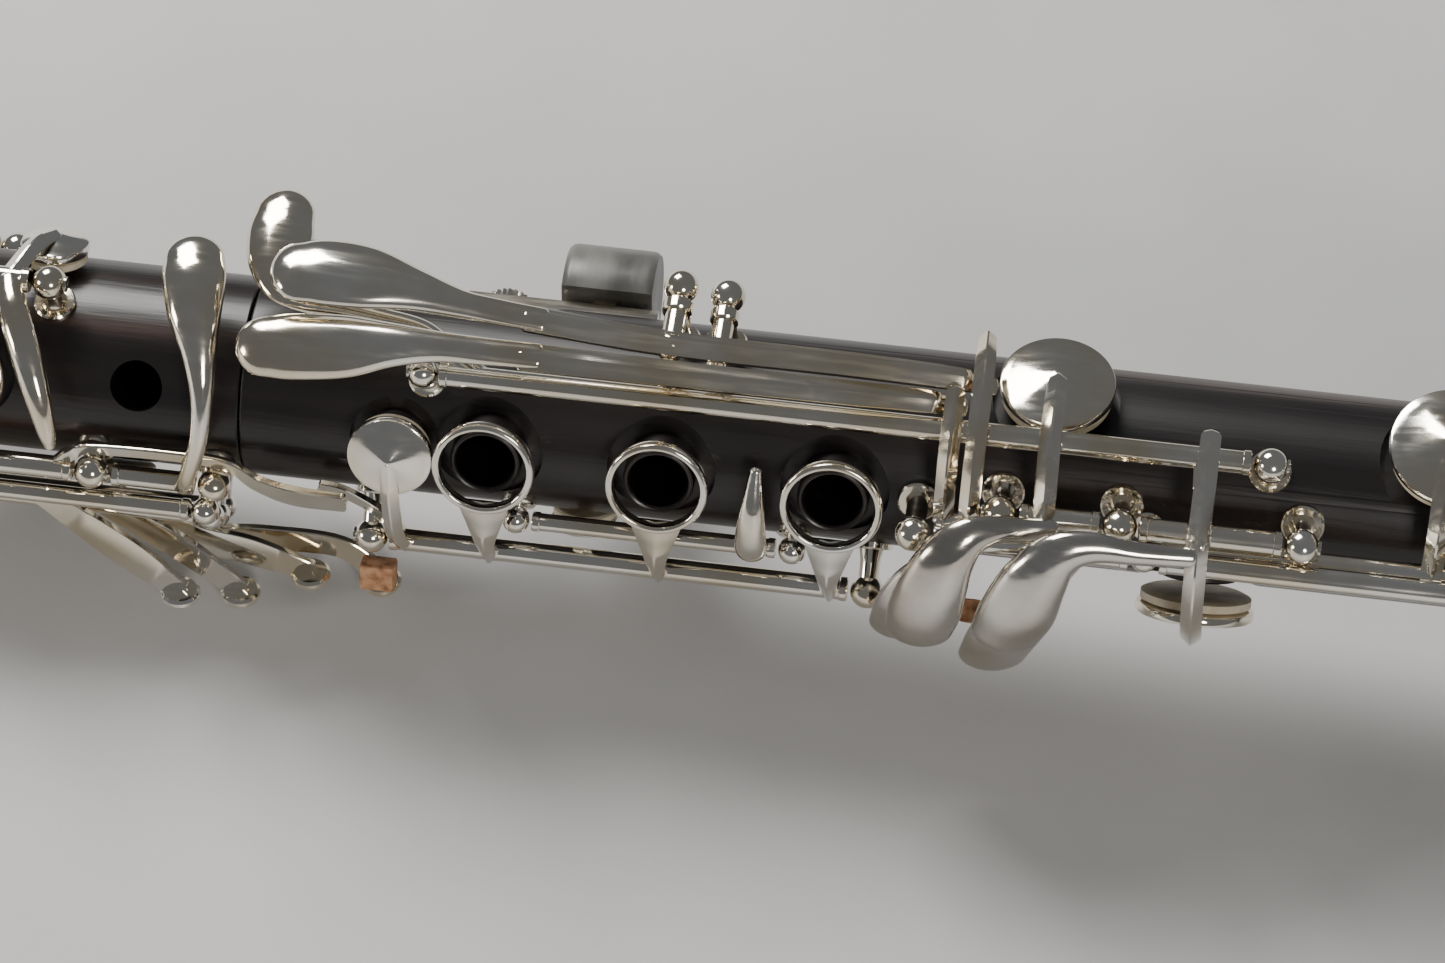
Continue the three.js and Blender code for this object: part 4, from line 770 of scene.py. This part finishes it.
key("sliver_key_metal", "e_flat_sliver_key", ["e_flat_b_flat_sliver_key"], [
    *tube(-46, -28.9, 60, 18.5), cup(-28, 92, 15.5, 4.6, 1.3),
    polar_arm([(-31.5, 58, 19.5, 1.6, 0.8), (-30, 45, 20.3, 2, 1), (-27.6, 30, 20.6, 2.1, 1.1),
               (-25.6, 14, 20.5, 1.8, 1), (-24.4, 0, 20.3, 1.3, 0.8), (-24, -7, 20.1, 0.8, 0.6)], DOMED),
    polar_arm([(-31.4, 62, 19.2, 1.4, 0.8), (-29.6, 80, 18.8, 1.3, 0.7), (-28, 92, 18.1, 1, 0.5)]),
])
key_pad("e_flat_sliver_key", "sliver_pad", -28, 92, 13.9, 15.2, 4.3)

key("c_sharp_key_metal", "c_sharp_key", ["c_sharp_g_sharp_key"], [
    *tube(-17.1, -5.9, -35, 16.8, 1.4), plug(-17.5, -66, 15.1, 16.3, 4.6),
    polar_arm([(-7.2, -34, 17.7, 1.4, 0.8), (-6.2, -22, 18.5, 1.2, 0.8), (-4.3, 0, 18.9, 1.25, 0.85),
               (-3.9, 18, 19.5, 1.5, 0.95), (-4.6, 35, 20.4, 2.3, 1.1), (-5.8, 50, 21.5, 3.6, 1.4),
               (-6.6, 62, 22.3, 4.2, 1.6), (-7.2, 70, 22.5, 4, 1.5)], DOMED, tips=(0.8, 3.6)),
    polar_arm([(-15.7, -35, 17.2, 1.2, 0.6), (-16.6, -50, 16.9, 1.2, 0.5), (-17.5, -66, 16.5, 1.1, 0.4)]),
])
key_pad("c_sharp_key", "c_sharp_pad", -17.5, -66, 13.6, 14.8, 4.3)

# ---- Side keys ----------------------------------------------------------------------------------------
# Four keys for the side of the right forefinger. Each is a flat plate with squared edges, soldered to a
# long tube, with a round domed touch at its end; the lowest plate has a block of cork behind it.

side_keys = [
    dict(line=side_lines[0], start=-27, path=[(-16, 22.5, 12.2, 2.7)], foot=(-8.6, 28.2, 11.4),
         pad=(-163, -10)),
    dict(line=side_lines[1], start=-19, path=[(-10, 22.3, 9.2, 2.3)], foot=(-1, 29.2, 8), pad=(-147, -22)),
    dict(line=side_lines[2], start=-13.5, path=[(-8, 22.4, 6.5, 2.4), (0, 24.4, 5.7, 2.6)],
         foot=(8, 27.2, 4.6), pad=(-112, -24)),
    dict(line=side_lines[3], start=-10.2,
         path=[(-8.6, 23.9, 3.4, 2), (2, 23.5, 3.3, 2.1), (12, 23.7, 3.3, 1.9)],
         foot=(17.6, 27.8, 3.2), pad=(-98, -24)),
]
PLATE_HALF = 0.48
plate_way = polar(0, -15, 1.0)
for number, side in enumerate(side_keys, start=1):
    angle, start = side["line"]
    root = polar(side["start"], angle, SIDE_TUBE_OUT)
    foot = np.array(side["foot"], float)
    bends = [(*p, PLATE_HALF) for p in side["path"]]
    plate = arm([(*root, 1.8, PLATE_HALF), *bends, (*foot, 1.8, PLATE_HALF)], FLAT, plate_way, ends=1.2)
    dome = [(-0.2, 0), (0, 2.3), (0.35, 2.68), (0.8, 2.78), (1.3, 2.6), (1.65, 2.1), (1.85, 1.2), (1.9, 0)]
    button = standing(0, -105, dome, 40)[0] + foot
    pad_s, pad_angle = side["pad"]
    height = 20.8 if number == 1 else 22.6
    crest = np.linspace(angle + 7, pad_angle - 14, number + 1)
    climb = [(pad_s, a, height, 1.15, 0.55) for a in crest]
    body = f"side_key_{number}"
    key(f"side_key_{number}_metal", body, [f"side_key_{number}"], [
        *tube(start + 2.15, -6.55, angle, SIDE_TUBE_OUT, 1.3), plate, (button, False),
        polar_arm([(pad_s, angle, 20.5, 1.2, 0.6), *climb, (pad_s, pad_angle, 17.7, 1, 0.6)], FLAT, steps=5),
        cup(pad_s, pad_angle, 15.6, 4.4, 1.2),
    ])
    key_pad(body, f"side_pad_{number}", pad_s, pad_angle, 13.9, 15.2, 4.1)


side_cork = arm([(17.6, 24.3, 5.4, 2.4, 1.6), (17.6, 27.6, 5.4, 2.4, 1.6)], FLAT, plate_way, ends=0.3)
make_piece("side_cork", [side_cork], cork, "side_key_4")

# ---- Right-hand keys on the lower joint ---------------------------------------------------------------
# The fork key between two rings, the A flat and F sharp keys on their shared hinge line, and the two
# stacked rods that carry the lowest pads. Touches are forged thick, with rounded edges, and get handled.

key("fork_key_metal", "fork_key", ["b_f_sharp_fork_key"], [
    *tube(39.4, 72.1, -44, 15.9, 1.2), cup(45, -86, 15.4, 4.6, 0.9),
    polar_arm([(69, -43, 16.8, 1.5, 0.7), (69, -38, 17.5, 2, 0.9), (69.1, -25, 18, 2.1, 1),
               (69.2, -8, 17.7, 1.7, 0.9), (69.3, 12, 16.9, 0.9, 0.6)], DOMED),
    polar_arm([(46, -48, 15.9, 1.2, 0.6), (45.5, -68, 16.6, 1.2, 0.6), (45, -86, 17, 1, 0.4)]),
])
key_pad("fork_key", "fork_pad", 45, -86, 13.8, 15.1, 4.3)

touches = {
    "a_flat": [
        (108.6, -3.6, 22.7, 1.3, 0.8), (105, -3.6, 23.6, 1.6, 0.9), (101.2, -3.8, 25, 2, 1.1),
        (97.8, -2.8, 26.3, 2.9, 1.4), (95.4, 0.4, 26.8, 3.8, 1.7), (94, 5, 26.2, 4.5, 1.9),
        (93.1, 10, 24.4, 4.8, 1.9), (92.4, 14.2, 22, 4.5, 1.7),
    ],
    "f_sharp": [
        (126.6, -2.9, 25, 1.4, 0.8), (120, -3.2, 25.8, 1.6, 1), (113.8, -3.7, 26.5, 2.2, 1.2),
        (109.6, -2.2, 27, 3.2, 1.5), (106.9, 2.2, 26.8, 4.4, 1.8), (105.2, 7.8, 25.4, 5, 2),
        (103.8, 12.8, 22.9, 4.7, 1.8),
    ],
    "f_c": [
        (99.5, 1.2, 18.2, 1.2, 0.8), (96.6, 4.6, 18.2, 2, 0.9), (92.8, 8.8, 17.8, 3.6, 1.3),
        (90.6, 14, 16.2, 4.4, 1.5), (89.4, 19, 13.6, 4.1, 1.4),
    ],
    "e_b": [
        (112, 1, 21.8, 1.2, 0.8), (109, 5.6, 19.4, 2.4, 1), (105.8, 11.6, 17.8, 4.2, 1.4),
        (103.6, 17.2, 16, 4.9, 1.6), (102, 22.6, 13.2, 4.6, 1.5),
    ],
}


def touch(name):
    """A little-finger touch: a thick plate with a full, rounded section."""
    return arm(touches[name], DOMED, tips=(0.8, 3.4))


key("a_flat_key_metal", "a_flat_key", ["a_flat_e_flat_key"], [
    *tube(104.1, 114.4, 11, 21.5), cup(107, 70, 15.3, 7.6, 1.8),
    polar_arm([(107.2, 11, 23, 1.4, 0.8), (107.1, 26, 23, 1.4, 0.9), (107, 39, 22.2, 1.4, 0.9),
               (107, 52, 20.4, 1.4, 0.8), (107, 66, 18.5, 1.2, 0.5), (107, 70, 18.1, 0.8, 0.4)]),
])
make_piece("a_flat_touch", [touch("a_flat")], worn_silver, "a_flat_key")
key_pad("a_flat_key", "a_flat_pad", 107, 70, 13.4, 15, 7.2)

key("f_sharp_key_metal", "f_sharp_key", ["f_sharp_c_sharp_key"], [
    *tube(119.6, 137.9, 11, 21.5), rod(polar(125.6, 11, 21.5), polar(128.8, 11, 21.5), 1.95),
    arm([(127.2, -4.1, 21.2, 1.1, 0.9), (127.2, -4.1, 24, 1.1, 0.9)], FLAT, (0, 1, 0)),
    arm([(127.4, -15.6, 15.2, 1.3, 0.8), (127.3, -10.8, 20, 1.4, 0.9), (127.2, -4.1, 24.2, 1.4, 1),
         (127.3, 0.5, 25.2, 1.4, 1), (127.4, 5, 24.4, 1.4, 1), (127.6, 10.4, 21, 1.4, 1),
         (127.8, 15.2, 15.6, 1.4, 0.9), (127.9, 18.4, 10.2, 1.3, 0.8), (128, 18.7, 7.4, 1.1, 0.7)]),
    cup(128, -70, 16.9, 7.9, 1.6),
])
make_piece("f_sharp_touch", [touch("f_sharp")], worn_silver, "f_sharp_key")
key_pad("f_sharp_key", "f_sharp_pad", 128, -70, 15.1, 16.6, 7.4)

key("f_c_key_metal", "f_c_key", ["f_c_key"], [
    *tube(93.2, 118.6, 0, 18.2),
    arm([(94.2, -0.3, 18.7, 1.3, 0.6), (94.2, -4.5, 19.5, 1.3, 0.8), (94.2, -9.5, 19.3, 1.3, 0.9),
         (94.2, -14, 16.4, 1.3, 0.9), (94.2, -17, 13.3, 1.2, 0.8)]),
])
make_piece("f_c_touch", [touch("f_c")], worn_silver, "f_c_key")
key("e_b_key_metal", "e_b_key", ["e_b_key"], [
    *tube(93.4, 118.6, 0, 21.8),
    arm([(97.6, -0.8, 22.5, 1.3, 0.8), (97.6, -6, 22.5, 1.3, 0.9), (97.6, -12, 19.5, 1.3, 0.9),
         (97.6, -17, 14.7, 1.3, 0.9), (97.5, -20, 9, 1.3, 0.9), (97.4, -20.9, 5, 1.1, 0.8)]),
])
make_piece("e_b_touch", [touch("e_b")], worn_silver, "e_b_key")

big_pads = {  # body: pad (s, angle, radius), rod height, rod end, where the arm rises
    "f_c_pad_key": ((158.4, 56, 8.2), 18.2, 161.1, (-7, 19.5)),
    "e_b_pad_key": ((190, 52, 8.6), 21.8, 197, (-7, 21.5)),
}
for body, ((s, angle, radius), height, end, (right, front)) in big_pads.items():
    over = polar(s - 0.6, angle - 16, 20.1)
    tip = polar(s, angle, 18.8)
    key(f"{body}_metal", body, [body], [
        *tube(122.6, end, 0, height), cup(s, angle, 16.8, radius, 1.8),
        arm([(s - 1, -0.8, height + 0.5, 1.4, 0.9), (s - 0.9, right, front, 1.4, 0.9), (*over, 1.4, 0.9),
             (*tip, 1, 0.5)]),
    ])
    key_pad(body, body.replace("_key", ""), s, angle, 15, 16.5, radius - 0.4)

# ---- Left-hand levers ---------------------------------------------------------------------------------
# Three long levers for the left little finger. Two rock on crosswise screws over the side of the joint and
# push up the crossing arms of the lowest keys; the third turns a long tube that lifts the F sharp key.

levers = {
    "left_lever_e_b": ([
        (8.2, -24, 13.2, 4.5, 1.6), (11.5, -24.2, 12.8, 5, 1.75), (17, -23.9, 12.6, 4.7, 1.65),
        (23, -22.9, 12.7, 3.2, 1.45), (29, -21.6, 12.8, 2.1, 1.2),
        (34, -21, 12.7, 1.85, 0.9), (40, -20.4, 12.5, 1.7, 0.6),
    ], [
        (38, -20.6, 12.6, 1.8, 1), (56.6, -18.9, 12.1, 1.75, 0.9), (80, -18.3, 11.4, 1.7, 0.9),
        (94, -17.6, 10.8, 1.6, 0.8), (95.8, -16.9, 10.4, 1.3, 0.55), (99, -16.5, 10.2, 1.2, 0.55),
    ], ((-2, 1.3, 1.2), (56.6, -18.6, 11.8)), (-3.2, 5.4, 1.5)),
    "left_lever_f_c": ([
        (4.6, -15.2, 18.3, 4, 1.6), (8, -15.6, 18.2, 4.4, 1.75), (15, -16.3, 17.9, 4.2, 1.65),
        (21, -17, 17.4, 3, 1.45), (27, -17.2, 16.9, 2.1, 1.2),
        (33, -17.1, 16.6, 1.85, 0.9), (40, -17, 16.2, 1.7, 0.6),
    ], [
        (38, -17, 16.5, 1.8, 0.9), (62.8, -16.4, 15.6, 1.65, 0.75), (80, -15.9, 14.7, 1.6, 0.8),
        (90.6, -15.4, 13.7, 1.5, 0.8), (92.2, -14.6, 13, 1.3, 0.55), (95.4, -14.3, 12.6, 1.2, 0.55),
    ], ((-5, 1.3, 0.5), (62.8, -15.9, 14.9)), (-5.4, 5.4, 1.4)),
}
for body, (grip, shaft, (saddle, foot), (near, far, size)) in levers.items():
    pivot = lever_pivots[body]
    offset, half_width, half_thickness = saddle
    key(f"{body}_metal", body, [body], [
        arm(grip, DOMED, tips=(4, 0.9)), arm(shaft, ROOF),
        rod(beside(pivot, near), beside(pivot, far), size),
        rod(beside(pivot, 3.6), beside(pivot, far), size + 0.5),
        arm([(*beside(pivot, offset), half_width, half_thickness), (*foot, half_width, half_thickness)], FLAT,
            polar(0, 154, 1.0)),
    ])

outward = polar(0, 64, 1.0)
leftward = polar(0, 154, 1.0)
third = [  # along the bore, out, left, half width, half thickness
    (3.3, 22.4, 10.8, 4, 1.4), (3.3, 22.2, 8, 4.4, 1.5), (3.8, 21.7, 4, 4.1, 1.4),
    (5.4, 21.2, 0.6, 3.1, 1), (8.6, 21, -1.2, 2.1, 0.9), (13, 20.7, -1.8, 1.6, 0.9),
    (18, 20.4, -2.4, 1.5, 0.9),
    (24, 19.8, -3.1, 1.4, 0.8), (28, 18.5, -5.3, 1.4, 0.8), (31, 17.4, -6.9, 1.4, 0.8),
    (33, 17, -7.6, 1.3, 0.8),
]
knots = [(*(np.array([s, 0, 0]) + outward * out + leftward * left), w, t) for s, out, left, w, t in third]
key("left_lever_f_sharp_metal", "left_lever_f_sharp", ["left_lever_f_sharp"], [
    *tube(27, 132.9, 39, 18.5), arm(knots, DOMED, outward, tips=(3.9, 0.8)),
    arm([(126.9, -11.8, 15, 1.3, 0.8), (126.9, -9.2, 17.6, 1.1, 0.6)]),
])

# ---- Key corks ----------------------------------------------------------------------------------------
# Little blocks of cork glued under the levers' ends and between the touches, which keep metal off metal.

make_piece("lever_e_b_cork", [arm([(97.2, -17.1, 11.6, 1.5, 0.4), (97.2, -17.6, 12.4, 1.5, 0.4)], FLAT,
                                  (1, 0, 0), ends=0.2)], cork, "left_lever_e_b")
make_piece("touch_cork", [arm([(98.9, 12.4, 16.8, 1.6, 1.6), (98.9, 14.6, 18.2, 1.6, 1.6)], FLAT, (1, 0, 0),
                              ends=0.2)], cork, "e_b_key")

# ---- Thumb rest ---------------------------------------------------------------------------------------
# A nickel-silver plate screwed to the back, with a tongue under a soft rubber cushion that is pushed over
# it, and a knurled screw that sets its height.

REST_ANGLE = 165


def rest_block(start, end, low, high, half):
    """A block on the back: from start to end along the bore, low to high out of it, half wide each way."""
    side = polar(0, REST_ANGLE + 90, 1.0)
    rings = []
    edge = 0.35
    for out, inset in ((low, edge), (low + edge, 0), (high - edge, 0), (high, edge)):
        base = polar(0, REST_ANGLE, out)
        rings.append([base + (s, 0, 0) + side * w for s, w in (
            (start + inset, -half + inset), (end - inset, -half + inset), (end - inset, half - inset),
            (start + inset, half - inset))])
    return np.array(rings), False


rest_plate = rest_block(26, 52, BODY + 0.1, 15.8, 5)
rest_tongue = rest_block(43, 46, 15, 27, 5)
make_piece("thumb_rest_metal", [rest_plate, rest_tongue], silver, "instrument", ["thumb_rest"])


def rubber_finish():
    """Grey, slightly clear rubber with moulding marks."""
    material, tree, shader, coordinates = new_finish("grey_clear_rubber")
    marks = noise_node(tree, coordinates, 260, (1, 0.3, 0.3), 5)
    tree.links.new(ramp_node(tree, marks, [(0.3, (0.10, 0.10, 0.095)), (0.7, (0.20, 0.195, 0.18))]),
                   shader.inputs["Base Color"])
    tree.links.new(ramp_node(tree, marks, [(0.3, 0.28), (0.7, 0.5)]), shader.inputs["Roughness"])
    shader.inputs["Subsurface Weight"].default_value = 0.25
    shader.inputs["Subsurface Radius"].default_value = (0.004, 0.004, 0.004)
    shader.inputs["Subsurface Scale"].default_value = 0.5
    add_bump(tree, shader, marks, 0.25, 0.0004)
    return material


rest_out = polar(0, REST_ANGLE, 1.0)
rest_side = polar(0, REST_ANGLE + 90, 1.0)
dome_turn = np.linspace(-0.17 * np.pi, 1.17 * np.pi, 40)
cushion_rings = []
for s, inset in ((38.4, 0.5), (38.9, 0.1), (39.4, 0), (49.8, 0), (50.3, 0.1), (50.8, 0.5)):
    reach = 8 - inset
    around = np.cos(dome_turn)[:, None] * rest_side + np.sin(dome_turn)[:, None] * rest_out
    dome = rest_out * 20.6 + reach * around
    cushion_rings.append(dome + (s, 0, 0))
make_piece("thumb_rest_rubber", [(np.array(cushion_rings), False)], rubber_finish(), "instrument",
           ["thumb_rest_cushion"])


def knurled(s, angle, low, high, radius, count):
    """A knurled knob: a disc whose rim waves in and out count times."""
    profile = [(low, 0), (low, radius * 0.8), (low + 0.4, radius), (high - 0.4, radius),
               (high, radius * 0.85), (high, 0)]
    rings, joined = standing(s, angle, profile, count * 4)
    axis = polar(s, angle, 1.0) * (0, 1, 1)
    centre = rings[:1, :1] * 0 + np.array([s, 0, 0])
    height = (rings - centre) @ axis
    core = centre + height[..., None] * axis
    wave = 1 + 0.04 * np.cos(np.arange(count * 4) * np.pi / 2)[None, :, None]
    return core + (rings - core) * wave, joined


make_piece("thumb_rest_knob", [knurled(31, REST_ANGLE, 16.1, 18.8, 3.3, 24)], silver, "instrument",
           ["thumb_rest_screw"])

# ---- Floor, light and camera --------------------------------------------------------------------------
# A plain pale floor, one broad soft light behind and above, two small ones in front and at the side, and a
# dim pale room.

floor_mesh = bpy.data.meshes.new("floor")
floor_mesh.from_pydata([(-4, -4, 0), (4, -4, 0), (4, 4, 0), (-4, 4, 0)], [], [(0, 1, 2, 3)])
floor = bpy.data.objects.new("floor", floor_mesh)
bpy.context.scene.collection.objects.link(floor)
floor_material, floor_tree, floor_shader, floor_coordinates = new_finish("pale_floor")
mottle = noise_node(floor_tree, floor_coordinates, 30, (1, 1, 1), 4)
floor_tone = ramp_node(floor_tree, mottle, [(0.3, 0.60), (0.7, 0.64)])
floor_tree.links.new(floor_tone, floor_shader.inputs["Base Color"])
floor_shader.inputs["Roughness"].default_value = 0.55
floor_mesh.materials.append(floor_material)


def soft_light(name, place, size, power, colour):
    """A square area light that faces the middle of the instrument."""
    lamp = bpy.data.lights.new(name, "AREA")
    lamp.size = size
    lamp.energy = power
    lamp.color = colour
    lamp_object = bpy.data.objects.new(name, lamp)
    bpy.context.scene.collection.objects.link(lamp_object)
    lamp_object.location = place
    back = np.array(place, float)
    back /= np.linalg.norm(back)
    side = np.cross((0, 0, 1.0), back)
    side /= np.linalg.norm(side)
    up = np.cross(back, side)
    turn = Matrix([[side[i], up[i], back[i]] for i in range(3)]).to_4x4()
    lamp_object.matrix_world = Matrix.Translation(place) @ turn


soft_light("window", (-0.5, 0.7, 1.0), 0.6, 22, (1, 0.98, 0.94))
soft_light("front", (0.5, -1.1, 0.7), 0.3, 6, (1, 0.95, 0.88))
soft_light("side", (-1.2, -0.5, 0.35), 0.3, 5, (1, 0.93, 0.84))
world = bpy.data.worlds.new("room")
world.use_nodes = True
world.node_tree.nodes["Background"].inputs["Color"].default_value = (0.80, 0.83, 0.88, 1)
world.node_tree.nodes["Background"].inputs["Strength"].default_value = 0.16
bpy.context.scene.world = world

# The camera looks at the lower joint's finger holes from the front and a little from the bell's side.
FRONT_ELEVATION = np.radians(21)
level = -np.cos(FRONT_ELEVATION) * front_way + np.sin(FRONT_ELEVATION) * left_way
upright = np.sin(FRONT_ELEVATION) * front_way + np.cos(FRONT_ELEVATION) * left_way
azimuth = np.radians(8.06)
elevation = np.radians(52)
back = (np.sin(azimuth) * np.cos(elevation) * along - np.cos(azimuth) * np.cos(elevation) * level
        + np.sin(elevation) * upright)
right = np.cos(azimuth) * along + np.sin(azimuth) * level
up = np.cross(back, right)
AIM_ALONG = 62.9
AIM_BELOW = 7.39
DISTANCE = 650
aim = middle + (AIM_ALONG * along - AIM_BELOW * up) * MM
eye = aim + DISTANCE * MM * back
camera = bpy.data.objects.new("camera", bpy.data.cameras.new("camera"))
camera.data.lens = 121.2
camera.data.sensor_width = 36
bpy.context.scene.collection.objects.link(camera)
pose = Matrix([[right[i], up[i], back[i], eye[i]] for i in range(3)] + [[0, 0, 0, 1]])
camera.matrix_world = pose
bpy.context.scene.camera = camera
